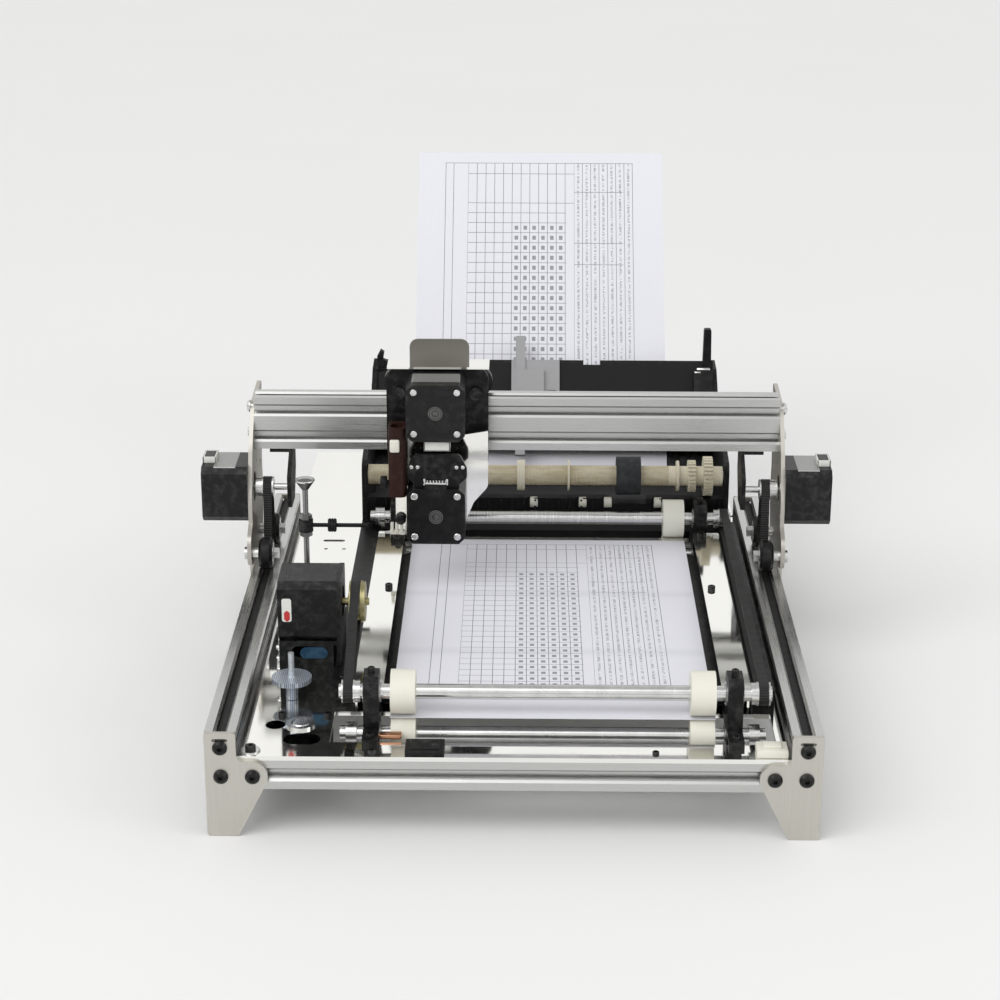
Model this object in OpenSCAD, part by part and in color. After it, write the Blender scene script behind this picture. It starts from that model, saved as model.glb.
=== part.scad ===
// Gantry pen plotter with a motor-driven paper feed: an aluminium frame, a gantry that runs
// along it, a pen carriage on the gantry and a sheet feeder behind.
// X runs to the right, Y to the back and Z up; the feet stand on Z = 0.

/* [Frame] */
// Width over the outer faces of the two side rails
frame_w = 390; // [386:1:400]
// Length of each side rail
rail_len = 440; // [436:1:460]
// Height of the underside of the rails above the table
rail_z = 32; // [30:0.5:34]
// Thickness of the foot plates
foot_t = 3; // [2:0.5:4]
// Thickness of the base plate
base_t = 3; // [2:0.5:3]
// How far the base plate reaches back from the front rail
base_len = 597; // [590:1:620]

/* [Gantry] */
// Thickness of the gantry end plates
end_plate_t = 3; // [2:0.5:4]
// Radius of the grooved wheels
wheel_r = 12; // [11.8:0.1:12]
// Radial gap between a wheel's groove face and the rail lips
wheel_gap = 0.45; // [0.3:0.05:0.8]

/* [Carriage] */
// Rest position of the middle of the pen carriage
carriage_x = -58; // [-58:1:60]
// Radius of the pen bore
pen_r = 5; // [4:0.25:5]

/* [Paper path] */
// Middle of the paper path
paper_x = 25; // [20:1:28]
// Width of the sheets
paper_w = 210; // [148:1:210]
// Radius of the paper rollers
roller_r = 14.5; // [12:0.5:14.6]
// Lean of the stacked sheet from the table
hopper_slope = 50.9; // [48:0.1:54]

/* [Hidden] */
$fn = 48;
gap = 0.3;
// extrusion cell, and the depths of its groove
cell = 20;
groove_depth = 6;
rail_top = rail_z + 2 * cell;
rail_x = frame_w / 2 - cell / 2;
rail_y1 = foot_t + rail_len;
cross_z = rail_z + cell / 2;
cross_len = frame_w - 2 * cell;
base_z = rail_z + cell;
deck_z = base_z + base_t;
rear_y = rail_y1 - cell / 2;
// screws
bolt_r = 2.5;
bolt_hole_r = 2.6;
head_r = 4.75;
head_h = 2.75;
ear_u = 30;
// gantry
gantry_y = 311;
beam_y = 329;
beam_z = 173;
wheel_w = 10.2;
wheel_rise = wheel_r - 1.7 + wheel_gap;
wheel_step = 26;
wheel_z = rail_top + wheel_rise;
under_wheel_z = rail_z - wheel_rise;
plate_x = frame_w / 2;
motor_side = 42.3;
motor_pitch = 31;
boss_r = 11;
y_motor_z = 126;
y_motor_len = 34;
shaft_r = 2.5;
fit = 0.05;
motor_screw_r = 1.6;
// toothed belts
belt_w = 6;
belt_t = 1.2;
belt_pitch = 2;
y_teeth = 20;
x_teeth = 16;
feed_teeth = 40;
// depth of a straight belt run below a rail's top face, and how far its middle line stands
// off the wheel or pulley it passes
belt_sink = 5.4;
belt_core = 1;
belt_line = gap + belt_t / 2;
// carriage
x_motor_z = 200.2;
car_y = 298;
car_t = 3;
x_motor_len = 39.3;
upper_z = beam_z + cell + wheel_rise;
lower_z = beam_z - cell - wheel_rise;
upper_step = 28;
z_motor_z = 122;
z_plate_y = 285;
z_plate_t = 2;
z_motor_len = 26.3;
slide_y = [288.4, 294];
pen_x = carriage_x - 28;
pen_y = 272;
pen_z = [135, 187];
pen_half = 6.4;
arm_side = carriage_x - 28.5;
guide_x = carriage_x - 20;
guide_r = 2;
pinion_r = 6.4;
// paper path
nip_z = 65;
shaft_drop = 15;
front_y = 48;
back_y = 372;
paper_shaft_r = 5;
roller_x = 96.5;
roller_w = 16;
sheet_t = 0.3;
shaft_end = [-138, 141];
collar_x = [paper_x - 134, paper_x + 127];
// left faces of the belts on the left and on the right
pulley_x = [paper_x - 135, paper_x + 132.5];
strip_x = [110.5, 130.5];
strip_z = 74;
bar_x = [131.5, 146];
bar_top = 70;
// feed motor
feed_y = 129;
feed_z = 109;
feed_face = -119;
feed_len = 39;
// controls on the base plate
cable_hole = [-155, 49];
button_at = [-138.5, 49.4];
knob_at = [-148, 90];
knob_z = 68;
post_at = [-152, 255];
post_top = 150;
arm_z = [112, 121];
nut_h = 3.2;
// feeder
sheet_foot = [492, 73];
stack_x = paper_x - 6;
hopper_sheet_len = 297;
tube_y = 400;
tube_z = 105;
wall_x = [-121, 162];
wall_t = 4;
cover_off = 8;
cover_t = 3;
cover_top = 98;
guide_top = 88.5;
// middle of the whole machine from front to back
back_end = sheet_foot.x + hopper_sheet_len * cos(hopper_slope);
y_mid = (back_end - head_h) / 2;

// ---- outlines ----

function unit(v) = v / norm(v);

// points of a circular arc about c
function arc(c, r, a0, a1, n = 10) =
    [for (i = [0:n]) c + r * [cos(a0 + (a1 - a0) * i / n), sin(a0 + (a1 - a0) * i / n)]];

// one corner b of an outline, rounded to radius r
function corner(a, b, c, r, n) =
    r <= 0 ? [b] :
    let (
        u = unit(a - b),
        v = unit(c - b),
        half = acos(u * v) / 2,
        o = b + unit(u + v) * r / sin(half),
        p = b + u * r / tan(half) - o,
        q = b + v * r / tan(half) - o,
        a0 = atan2(p.y, p.x),
        turn = atan2(q.y, q.x) - a0,
        sweep = turn > 180 ? turn - 360 : turn < -180 ? turn + 360 : turn
    )
    arc(o, r, a0, a0 + sweep, n);

// outline whose corners [x, y, radius] are rounded
function rounded(p, n = 6) =
    [for (i = [0:len(p) - 1])
        let (a = p[(i + len(p) - 1) % len(p)], b = p[i], c = p[(i + 1) % len(p)])
        each corner([a.x, a.y], [b.x, b.y], [c.x, c.y], b.z, n)];

// outline of a strip of thickness t along a path
function ribbon(path, t) =
    let (
        n = len(path) - 1,
        side = [for (i = [0:n])
            let (d = unit(path[min(i + 1, n)] - path[max(i - 1, 0)])) [-d.y, d.x] * t / 2]
    )
    concat([for (i = [0:n]) path[i] + side[i]], [for (i = [n:-1:0]) path[i] - side[i]]);

// belt line that comes off a wheel, goes over a pulley and down to the next wheel
function omega(wheel, pulley, rw, rp) =
    let (
        d = pulley - wheel,
        lean = atan2(d.y, d.x) - acos((rw + rp) / norm(d)),
        far = [2 * pulley.x - wheel.x, wheel.y]
    )
    concat(
        arc(wheel, rw, min(-42, lean - 1), lean, 4),
        arc(pulley, rp, 180 + lean, -lean, 16),
        arc(far, rw, 180 - lean, 180 - min(-42, lean - 1), 4));

// belt line round two pulleys
function loop(a, b, ra, rb) =
    let (
        d = b - a,
        base = atan2(d.y, d.x),
        open = acos((ra - rb) / norm(d))
    )
    concat(arc(a, ra, base + open, base + 360 - open, 24), arc(b, rb, base - open, base + open, 24));

// toothed wheel outline
function teeth(n, r, depth) =
    [for (i = [0:n - 1], k = [[0, 0], [0.45, 0], [0.6, 1], [0.85, 1]])
        let (a = 360 * (i + k[0]) / n) (r - k[1] * depth) * [cos(a), sin(a)]];

function pitch_r(n) = n * belt_pitch / (2 * PI);

// ---- building blocks ----

module placed() translate([0, -y_mid, 0]) children();

module block(x, y, z) translate([x[0], y[0], z[0]]) cube([x[1] - x[0], y[1] - y[0], z[1] - z[0]]);

// outline in X and Z, thickness t back from y
module plate_xz(y, t) translate([0, y + t, 0]) rotate([90, 0, 0]) linear_extrude(t) children();

// outline in Y and Z, thickness t right from x
module plate_yz(x, t) translate([x, 0, 0]) rotate([90, 0, 90]) linear_extrude(t) children();

module rod_x(x, r, y, z) translate([x[0], y, z]) rotate([0, 90, 0]) cylinder(r = r, h = x[1] - x[0]);
module rod_y(y, r, x, z) translate([x, y[0], z]) rotate([-90, 0, 0]) cylinder(r = r, h = y[1] - y[0]);
module rod_z(z, r, x, y) translate([x, y, z[0]]) cylinder(r = r, h = z[1] - z[0]);

// a slot with round ends, along X
module slot(len, w) {
    square([len - w, w], center = true);
    for (s = [-1, 1]) translate([s * (len - w) / 2, 0]) circle(d = w);
}

module both_sides() for (s = [0, 1]) mirror([s, 0, 0]) children();

// one groove, opening upwards at y = 0
module groove() polygon([
    [-4.6, 0.2], [-4.6, 0], [-3.1, -1.5], [-3.1, -1.8], [-5.5, -1.8], [-5.5, -3], [-2.6, -groove_depth],
    [2.6, -groove_depth], [5.5, -3], [5.5, -1.8], [3.1, -1.8], [3.1, -1.5], [4.6, 0], [4.6, 0.2]]);

// section of the aluminium extrusion, the given number of cells high
module section(cells) difference() {
    square([cell, cells * cell], center = true);
    for (i = [0:cells - 1], s = [-1, 1])
        translate([s * cell / 2, (i - (cells - 1) / 2) * cell]) rotate(-s * 90) groove();
    for (s = [0, 1]) rotate(180 * s) translate([0, cells * cell / 2]) groove();
    for (i = [0:cells - 1]) translate([0, (i - (cells - 1) / 2) * cell]) circle(r = bolt_r + fit);
}

// extrusion along X, centred
module extrusion_x(len, cells) translate([-len / 2, 0, 0])
    rotate([90, 0, 90]) linear_extrude(len) section(cells);

// button-head screw with its head on the -Z side of z = 0
module screw(len) difference() {
    union() {
        cylinder(r = bolt_r, h = len);
        translate([0, 0, -head_h * 0.4]) cylinder(r = head_r, h = head_h * 0.4);
        translate([0, 0, -head_h]) cylinder(r1 = head_r * 0.7, r2 = head_r, h = head_h * 0.6);
    }
    translate([0, 0, -head_h - 1]) cylinder(r = 1.7, h = 2.8, $fn = 6);
}

// grooved wheel about the X axis
module wheel() rotate([0, 90, 0]) rotate_extrude($fn = 64) polygon([
    [bolt_r + fit, -wheel_w / 2], [wheel_r - 2.8, -wheel_w / 2], [wheel_r - 2.2, -wheel_w / 2 + 0.2],
    [wheel_r, -2.9], [wheel_r, 2.9], [wheel_r - 2.2, wheel_w / 2 - 0.2],
    [wheel_r - 2.8, wheel_w / 2], [bolt_r + fit, wheel_w / 2]]);

// axle bolt along X for a wheel centred at x = 0, clamped in a plate from x = to_plate to + t
module axle(to_plate, t) {
    rod_x([-wheel_w / 2 - gap - 4, to_plate + t], bolt_r, 0, 0);
    rod_x([wheel_w / 2 + gap, to_plate], 4, 0, 0);
    rod_x([to_plate + t, to_plate + t + head_h], head_r, 0, 0);
    translate([-wheel_w / 2 - gap - 4, 0, 0]) rotate([0, 90, 0]) cylinder(r = 4.4, h = 4, $fn = 6);
}

// square of side s about the origin with its corners cut off by c
function cut_square(s, c) = let (h = s / 2, k = s / 2 - c)
    [[h, -k], [h, k], [k, h], [-k, h], [-h, k], [-h, -k], [-k, -h], [k, -h]];

// stepper motor with its face at z = 0 and its body below
module stepper(len) difference() {
    union() {
        translate([0, 0, -len]) linear_extrude(len)
            polygon(rounded([for (p = cut_square(motor_side, 4.5)) [p.x, p.y, 0.5]], 3));
        cylinder(r = boss_r, h = 2);
    }
    translate([0, 0, -15]) cylinder(r = shaft_r + fit, h = 20);
    for (x = [-1, 1], y = [-1, 1]) translate([x, y, 0] * motor_pitch / 2) {
        translate([0, 0, -len - 1]) cylinder(r = 2.9, h = 2);
        translate([0, 0, -4]) cylinder(r = 1.5, h = 5);
    }
    translate([0, 0, -len - 1]) cylinder(r = 5.5, h = 1.6);
}

// toothed pulley on z = 0 to w, with its flanges, hub and bore
module pulley(n, w, hub, bore) difference() {
    union() {
        linear_extrude(w) polygon(teeth(n, pitch_r(n) - 0.25, 0.75));
        for (z = [-1, w]) translate([0, 0, z]) cylinder(r = pitch_r(n) + 1.4, h = 1);
        translate([0, 0, w + 1]) cylinder(r = pitch_r(n) + 0.8, h = hub);
    }
    translate([0, 0, -2]) cylinder(r = bore, h = w + hub + 5);
}

// ---- frame ----

module side_rails() placed() color("silver") both_sides()
    translate([rail_x, rail_y1, rail_z + cell]) rotate([90, 0, 0]) linear_extrude(rail_len) section(2);

module front_rail() placed() color("silver")
    translate([0, foot_t + cell / 2, cross_z]) extrusion_x(cross_len, 1);

module rear_rail() placed() color("silver")
    translate([0, rear_y, cross_z]) extrusion_x(cross_len, 1);

// foot plate for the right side; u is the distance in from the outer edge
module foot() {
    outer = frame_w / 2;
    difference() {
        polygon(rounded([
            [outer, 0, 2], [outer, rail_top, 1.5], [outer - cell, rail_top, 1.5],
            [outer - cell, rail_z + cell, 5], [outer - 40, rail_z + cell, 9.5],
            [outer - 39.5, rail_z + 7, 5], [outer - cell, 0, 2]]));
        for (p = [[cell / 2, cell * 1.5], [cell / 2, cell / 2], [ear_u, cell / 2]])
            translate([outer - p.x, rail_z + p.y]) circle(r = bolt_hole_r);
        translate([rail_x, rail_top - belt_sink + belt_core / 2]) slot(10, 2);
    }
}

module front_feet() placed() color("#b9b5aa") both_sides() plate_xz(0, foot_t) foot();

module rear_feet() placed() color("#b9b5aa") both_sides() plate_xz(rail_y1, foot_t) foot();

module frame_screws() placed() color("#1c1c1c") both_sides()
    for (p = [[cell / 2, cell * 1.5, 14], [cell / 2, cell / 2, 14], [ear_u, cell / 2, 8]]) {
        translate([frame_w / 2 - p.x, 0, rail_z + p.y]) rotate([-90, 0, 0]) screw(p.z);
        translate([frame_w / 2 - p.x, rail_y1 + foot_t, rail_z + p.y]) rotate([90, 0, 0]) screw(p.z);
    }

module base_plate() placed() color("#d8d8d6") translate([0, 0, base_z]) linear_extrude(base_t)
    difference() {
        translate([-cross_len / 2 + 0.5, foot_t]) square([cross_len - 1, base_len]);
        translate([paper_x - 143, 24]) square([286, 46]);
        translate([paper_x - 127, 350]) square([254, 44]);
        translate(cable_hole) circle(r = 6.5);
        translate(button_at) circle(r = 8);
        translate([-136, 28]) slot(24, 15.5);
        translate([-143, 384]) slot(17, 4.5);
        for (x = [-148, -134]) translate([x, 366]) circle(r = 1.5);
        // room for the rear feet
        for (s = [-1, 1]) translate([s * cross_len / 2, rail_y1 + foot_t / 2])
            square([14, foot_t + 1], center = true);
    }

module y_belts() placed() color("#1a1a1a") both_sides()
    block([rail_x - belt_w / 2, rail_x + belt_w / 2], [0, rail_y1 + foot_t],
        [rail_top - belt_sink, rail_top - belt_sink + belt_core]);

// black bed under the sheet, on two cross ribs
module paper_bed() placed() color("#1b1b1a") {
    translate([0, 0, nip_z - 5]) linear_extrude(3.5) polygon(rounded([
        [paper_x - 116, 72, 3], [paper_x + 116, 72, 3], [paper_x + 116, 346, 30], [paper_x - 116, 346, 30]]));
    for (y = [96, 316])
        block([paper_x - 80, paper_x + 80], [y, y + 6], [deck_z, nip_z - 5]);
}

// folded steel strip beside the sheet
module steel_strips() placed() color("#dcdcda") translate([paper_x, 0, 0]) both_sides() {
    difference() {
        translate([0, 0, strip_z]) linear_extrude(1.5) polygon(rounded([
            [strip_x[0], 65, 5], [strip_x[1], 65, 1], [strip_x[1], 352, 1], [strip_x[0], 352, 5]]));
        for (y = [72, 237, 345]) rod_z([strip_z - 1, strip_z + 3], 1.6, strip_x[0] + 6, y);
    }
    block([strip_x[1] - 1.5, strip_x[1]], [82, 348], [deck_z, strip_z]);
}

module side_bars() placed() color("#191918") translate([paper_x, 0, 0]) both_sides() difference() {
    block(bar_x, [74, 391.5], [deck_z, bar_top]);
    for (y = [90, 380]) rod_z([bar_top - 8, bar_top + 1], 1.6, (bar_x[0] + bar_x[1]) / 2, y);
}

// bearing block of two paper shafts, standing through the window in the base plate
module roller_brackets() placed() color("#171717")
    for (y = [front_y, back_y]) translate([paper_x, y, 0]) both_sides() difference() {
        union() {
            plate_yz(112, 10) polygon(rounded([
                [-12, 38, 5], [12, 38, 5], [12, 93, 6], [-12, 93, 6]]));
            for (s = [-1, 1]) block([112, 122], s > 0 ? [11, 29] : [-29, -11], [deck_z, deck_z + 4]);
        }
        for (z = [nip_z - shaft_drop, nip_z + shaft_drop]) rod_x([111, 123], paper_shaft_r + fit, 0, z);
        for (s = [-1, 1]) rod_z([deck_z - 1, deck_z + 5], 1.6, 117, s * 24);
    }

module feed_motor() placed() color("#141414")
    translate([feed_face, feed_y, feed_z]) rotate([0, 90, 0]) stepper(feed_len);

// hollow riser under the feed motor with a round-ended window, and the plate the motor's
// face is screwed to
module motor_bracket() placed() color("#202020") {
    x0 = feed_face - feed_len;
    x1 = paper_x - bar_x[1] - 0.5;
    top = feed_z - motor_side / 2;
    wall = 3;
    plate_end = feed_face + wall;
    difference() {
        block([x0, x1], [feed_y - 19, feed_y + 19], [deck_z, top]);
        block([x0 + wall, x1 - wall], [feed_y - 16, feed_y + 16], [deck_z - 1, top - wall]);
        plate_xz(feed_y - 25, 50) translate([(x0 + x1) / 2, 79.5]) slot(20, 9);
    }
    block([x1 - 1, plate_end], [feed_y - 19, feed_y + 19], [top - wall, top]);
    difference() {
        plate_yz(feed_face, wall) polygon(rounded([
            [feed_y - 21, bar_top + 0.5, 0], [feed_y + 21, bar_top + 0.5, 0],
            [feed_y + 21, feed_z + 21, 4], [feed_y - 21, feed_z + 21, 4]]));
        rod_x([feed_face - 1, plate_end + 1], boss_r + 0.1, feed_y, feed_z);
        for (y = [-1, 1], z = [-1, 1]) translate([0, y * motor_pitch / 2, z * motor_pitch / 2])
            rod_x([feed_face - 1, plate_end + 1], motor_screw_r, feed_y, feed_z);
    }
}

// drive belt on the left, and the belt that joins the two upper shafts on the right
module feed_belts() placed() color("#1a1a1a") {
    a = [front_y, nip_z + shaft_drop];
    inner = gap + belt_t / 2 - 0.25;
    r_small = pitch_r(y_teeth) + inner;
    for (k = [[pulley_x[0], [feed_y, feed_z], pitch_r(feed_teeth) + inner],
              [pulley_x[1], [back_y, nip_z + shaft_drop], r_small]])
        plate_yz(k[0], belt_w) difference() {
            polygon(loop(a, k[1], r_small + belt_t / 2, k[2] + belt_t / 2));
            polygon(loop(a, k[1], r_small - belt_t / 2, k[2] - belt_t / 2));
        }
}

// threaded post with a flared head, a foot nut and the two nuts that hold the arm
module gauge_post() placed() color("#3a3a38") translate([post_at.x, post_at.y, 0]) {
    rod_z([deck_z, post_top], 2, 0, 0);
    translate([0, 0, deck_z]) cylinder(r = 5, h = 4, $fn = 6);
    translate([0, 0, post_top - 6]) cylinder(r1 = 2.5, r2 = 7, h = 6.5);
    for (z = [arm_z[0] - gap - nut_h, arm_z[1] + gap])
        translate([0, 0, z]) cylinder(r = 4.6, h = nut_h, $fn = 6);
}

// arm clamped between the post's two nuts, with a thumb nut on it
module gauge_arm() placed() color("#161616") translate([post_at.x, post_at.y, 0]) {
    mid = (arm_z[0] + arm_z[1]) / 2;
    difference() {
        rod_z(arm_z, 5.2, 0, 0);
        rod_z([arm_z[0] - 1, arm_z[1] + 1], 2 + fit, 0, 0);
    }
    rod_x([4.6, 45], 1.5, 0, mid);
    rod_x([16, 22], 4.5, 0, mid);
}

// turning disc on its hub, with a stud through it
module clamp_knob() placed() color("#cfd6da") {
    rod_z([deck_z + gap, knob_z], 4, knob_at.x, knob_at.y);
    rod_z([knob_z, knob_z + 3], 13.3, knob_at.x, knob_at.y);
    rod_z([knob_z, knob_z + 20], 2, knob_at.x, knob_at.y);
}

module button_bezel() placed() color("silver") translate([button_at.x, button_at.y, 0]) difference() {
    union() {
        translate([0, 0, deck_z]) cylinder(r = 9.4, h = 1.6);
        translate([0, 0, base_z - 14]) cylinder(r = 7.9, h = 14 + base_t);
    }
    translate([0, 0, base_z - 11]) cylinder(r = 6.3, h = 30);
}

module power_button() placed() color("#e8e8e8") translate([button_at.x, button_at.y, base_z - 8]) {
    cylinder(r = 6, h = base_t + 9.2);
    translate([0, 0, base_t + 9.2]) cylinder(r1 = 6, r2 = 5.2, h = 0.8);
}

// ---- paper path ----

module paper_shaft(x, y, z) rod_x([paper_x + x[0], paper_x + x[1]], paper_shaft_r, y, z);

module rollers(y, z) for (s = [-1, 1]) difference() {
    rod_x([paper_x + s * roller_x - roller_w / 2, paper_x + s * roller_x + roller_w / 2], roller_r, y, z);
    rod_x([paper_x + s * roller_x - 9, paper_x + s * roller_x + 9], paper_shaft_r, y, z);
}

module collar(x, y, z) difference() {
    rod_x([x, x + 7], 7.5, y, z);
    rod_x([x - 1, x + 8], paper_shaft_r, y, z);
    rod_z([z + 4, z + 9], 1.5, x + 3.5, y);
}

// toothed pulley on a paper shaft, hub towards the bearing block
module shaft_pulley(x, side, y, z) translate([x + belt_w / 2, y, z]) rotate([0, side * 90, 0])
    translate([0, 0, -belt_w / 2 - 0.3]) pulley(y_teeth, belt_w + 0.6, 3.5, paper_shaft_r);

module front_lower_shaft() placed() color("#c9c9c7") {
    paper_shaft([shaft_end[0], -shaft_end[0]], front_y, nip_z - shaft_drop);
    for (x = collar_x) collar(x, front_y, nip_z - shaft_drop);
}

module front_upper_shaft() placed() color("#c9c9c7") {
    paper_shaft(shaft_end, front_y, nip_z + shaft_drop);
    shaft_pulley(pulley_x[0], 1, front_y, nip_z + shaft_drop);
    shaft_pulley(pulley_x[1], -1, front_y, nip_z + shaft_drop);
}

module front_lower_rollers() placed() color("#efeade") rollers(front_y, nip_z - shaft_drop);

module front_upper_rollers() placed() color("#efeade") rollers(front_y, nip_z + shaft_drop);

module rear_lower_roller() placed() {
    color("#c9c9c7") paper_shaft([-125, 125], back_y, nip_z - shaft_drop);
    color("#efeade") rollers(back_y, nip_z - shaft_drop);
}

module rear_upper_roller() placed() {
    color("#c9c9c7") paper_shaft(shaft_end, back_y, nip_z + shaft_drop);
    color("#efeade") rollers(back_y, nip_z + shaft_drop);
    color("#c9c9c7") collar(collar_x[0], back_y, nip_z + shaft_drop);
    color("#c9c9c7") shaft_pulley(pulley_x[1], -1, back_y, nip_z + shaft_drop);
}

// motor pulley of the paper feed, with the motor's shaft
module feed_pulley() placed() color("#8a8352")
    translate([pulley_x[0] - 0.3, feed_y, feed_z]) rotate([0, 90, 0]) {
        pulley(feed_teeth, belt_w + 0.6, 2, shaft_r);
        translate([0, 0, -19]) cylinder(r = shaft_r, h = 19 + belt_w + 6);
    }

module bed_paper() placed() color("#f4f4f6")
    block([paper_x - paper_w / 2, paper_x + paper_w / 2], [40, 362],
        [nip_z - sheet_t / 2, nip_z + sheet_t / 2]);

// ---- feeder ----

// frame whose Y runs up along the stacked sheet and whose Z points out of its face
module on_sheet() translate([0, sheet_foot.x, sheet_foot.y]) rotate([hopper_slope, 0, 0]) children();

module hopper_paper() placed() color("#f4f4f6") on_sheet()
    block([stack_x - paper_w / 2, stack_x + paper_w / 2], [0, hopper_sheet_len], [0, sheet_t]);

// tray behind the stacked sheet, held between the side walls and narrower above them
module hopper_tray() placed() color("#181818") on_sheet() {
    block([wall_x[0] + wall_t, wall_x[1]], [-8, 60], [-3.5, -0.5]);
    block([-105, 150], [-8, 96], [-3.5, -0.5]);
}

// side wall profile of the feeder
module feeder_side() difference() {
    polygon(rounded([
        [392, deck_z, 2], [590, deck_z, 2], [588, 90, 8], [566, 152, 6], [540, 150, 5],
        [470, 100, 20], [425, 122, 10], [392, 116, 8]]));
    translate([tube_y, tube_z]) circle(r = 4 + fit);
}

module feeder_housing() placed() color("#161616") {
    for (x = [wall_x[0], wall_x[1]]) plate_yz(x, wall_t) feeder_side();
    block([wall_x[0] + 1, wall_x[1] + 1], [402, 588], [deck_z, deck_z + 3]);
    block([wall_x[0] + 1, wall_x[1] + 1], [584, 588], [deck_z, 88]);
    // slanted front cover with a notch in its top edge
    on_sheet() difference() {
        block([wall_x[0] + 1, wall_x[1] + 1], [18, cover_top], [cover_off, cover_off + cover_t]);
        block([55, 69], [cover_top - 4, cover_top + 1], [cover_off - 1, cover_off + cover_t + 1]);
    }
    // upper paper guide under the pick-up shaft, notched for its roller
    difference() {
        block([wall_x[0] + 1, wall_x[1] + 1], [392.5, 402], [72, guide_top]);
        block([72, 102], [390, 410], [84, guide_top + 1]);
        for (x = [8, 46, 66, 106]) block([x, x + 6], [390, 395], [76, guide_top + 1]);
    }
    // upright ears at the two ends of the cover
    plate_xz(538, 5) polygon([[-122, 118], [-113, 118], [-113, 150], [-107, 152], [-108, 156],
        [-112, 158], [-111, 164], [-114, 166], [-117, 160], [-116, 150], [-119, 141], [-122, 136]]);
    plate_xz(538, 6) polygon(rounded([[152, 118, 0], [166, 118, 0], [166, 128, 2], [161.5, 133, 2],
        [160.5, 185, 1.5], [154.5, 185, 1.5], [154, 150, 1], [152, 146, 1]]));
}

// sliding side guide in front of the cover
module paper_guide() placed() color("#a7a7a8") on_sheet() {
    z0 = cover_off + cover_t + gap;
    difference() {
        union() {
            block([-5, 35], [30, cover_top - 1], [z0, z0 + 2.5]);
            block([-5, 22], [30, cover_top - 11], [z0 + 2, z0 + 6]);
            block([-1.5, 6.5], [12, cover_top + 20], [z0, z0 + 4]);
        }
        block([25, 32], [40, 70], [z0 + 1.5, z0 + 5]);
    }
}

// hollow shaft of the feeder with its guide discs and end gears
module feeder_tube() placed() color("#cbbd97") {
    rod_x([wall_x[0] + 5, wall_x[1] - 1], 7.8, tube_y, tube_z);
    rod_x([wall_x[0] + 0.5, wall_x[1] + 3.5], 4, tube_y, tube_z);
    for (x = [[-70, 1.2], [0.5, 6], [40, 1.5], [125, 2]]) rod_x([x[0], x[0] + x[1]], 12, tube_y, tube_z);
    for (g = [[134, 6, 24, 12.5], [146, 7, 30, 15.5]])
        translate([g[0], tube_y, tube_z]) rotate([0, 90, 0]) linear_extrude(g[1])
            polygon(teeth(g[2], g[3], 1.8));
}

module pickup_roller() placed() color("#2e2f31") difference() {
    rod_x([78, 97], 15, tube_y, tube_z);
    rod_x([77, 98], 7.8, tube_y, tube_z);
}

// ---- gantry ----

// end plate of the gantry in Y and Z, with a lug in front for the front wheel's axle
module gantry_outline() difference() {
    lug_y = gantry_y - wheel_step - 10;
    union() {
        polygon(rounded([
            [290, 64, 6], [290, 122, 30], [305, 160, 30], [328, 186, 14], [376, 190, 3], [362, 132, 40],
            [364, 108, 20], [352, 64, 8], [326, 8, 12], [296, 8, 12]], 8));
        polygon(rounded([[lug_y, 76, 9], [300, 70, 1], [300, 110, 1], [lug_y, 96, 9]]));
    }
    for (p = [[gantry_y - wheel_step, wheel_z], [gantry_y + wheel_step, wheel_z], [gantry_y, under_wheel_z],
              [beam_y, beam_z - cell / 2], [beam_y, beam_z + cell / 2]])
        translate(p) circle(r = bolt_hole_r);
    translate([gantry_y, y_motor_z]) {
        circle(r = boss_r + 0.1);
        for (y = [-1, 1], z = [-1, 1]) translate([y, z] * motor_pitch / 2) circle(r = motor_screw_r);
    }
    translate([349, 132]) circle(r = 3);
}

module gantry_plate_left() placed() color("#bdbab2")
    plate_yz(-plate_x - end_plate_t, end_plate_t) gantry_outline();
module gantry_plate_right() placed() color("#bdbab2")
    plate_yz(plate_x, end_plate_t) gantry_outline();

module gantry_beam() placed() color("silver") translate([0, beam_y, beam_z]) extrusion_x(frame_w, 2);

module y_motor() translate([plate_x + end_plate_t, gantry_y, y_motor_z]) rotate([0, -90, 0]) union() {
    stepper(y_motor_len);
    // connector on the top face at the outer end
    block([motor_side / 2 - 0.5, motor_side / 2 + 4], [-8, 8], [-y_motor_len, -y_motor_len + 9]);
}

module y_motor_left() placed() color("#141414") mirror([1, 0, 0]) y_motor();
module y_motor_right() placed() color("#141414") y_motor();

// bracket under the beam that steadies the end of each pulley shaft
module inner_brackets() placed() color("#1b1b1b") both_sides() {
    difference() {
        plate_yz(166.5, 3) polygon(rounded([
            [gantry_y - 13, 113, 4], [gantry_y + 13, 113, 4], [beam_y + 8, 134, 4],
            [beam_y + 8, beam_z - cell, 0], [beam_y - 9, beam_z - cell, 0], [gantry_y - 13, 138, 4]]));
        rod_x([166, 170], shaft_r + fit, gantry_y, y_motor_z);
    }
    difference() {
        block([169, 184], [beam_y - 9, beam_y + 8], [beam_z - cell - 3, beam_z - cell]);
        rod_z([beam_z - cell - 4, beam_z - cell + 1], bolt_hole_r, 176, beam_y);
    }
}

module gantry_axles() placed() color("#b9b9b9") both_sides() {
    for (p = [[gantry_y - wheel_step, wheel_z], [gantry_y + wheel_step, wheel_z], [gantry_y, under_wheel_z]])
        translate([rail_x, p.x, p.y]) axle(plate_x - rail_x, end_plate_t);
    for (z = [-1, 1]) translate([plate_x + end_plate_t, beam_y, beam_z + z * cell / 2])
        rotate([0, -90, 0]) screw(14);
}

module x_belt() placed() color("#1a1a1a")
    block([-plate_x + 2, plate_x - 2], [beam_y - belt_w / 2, beam_y + belt_w / 2],
        [beam_z + cell - belt_sink, beam_z + cell - belt_sink + belt_core]);

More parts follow.
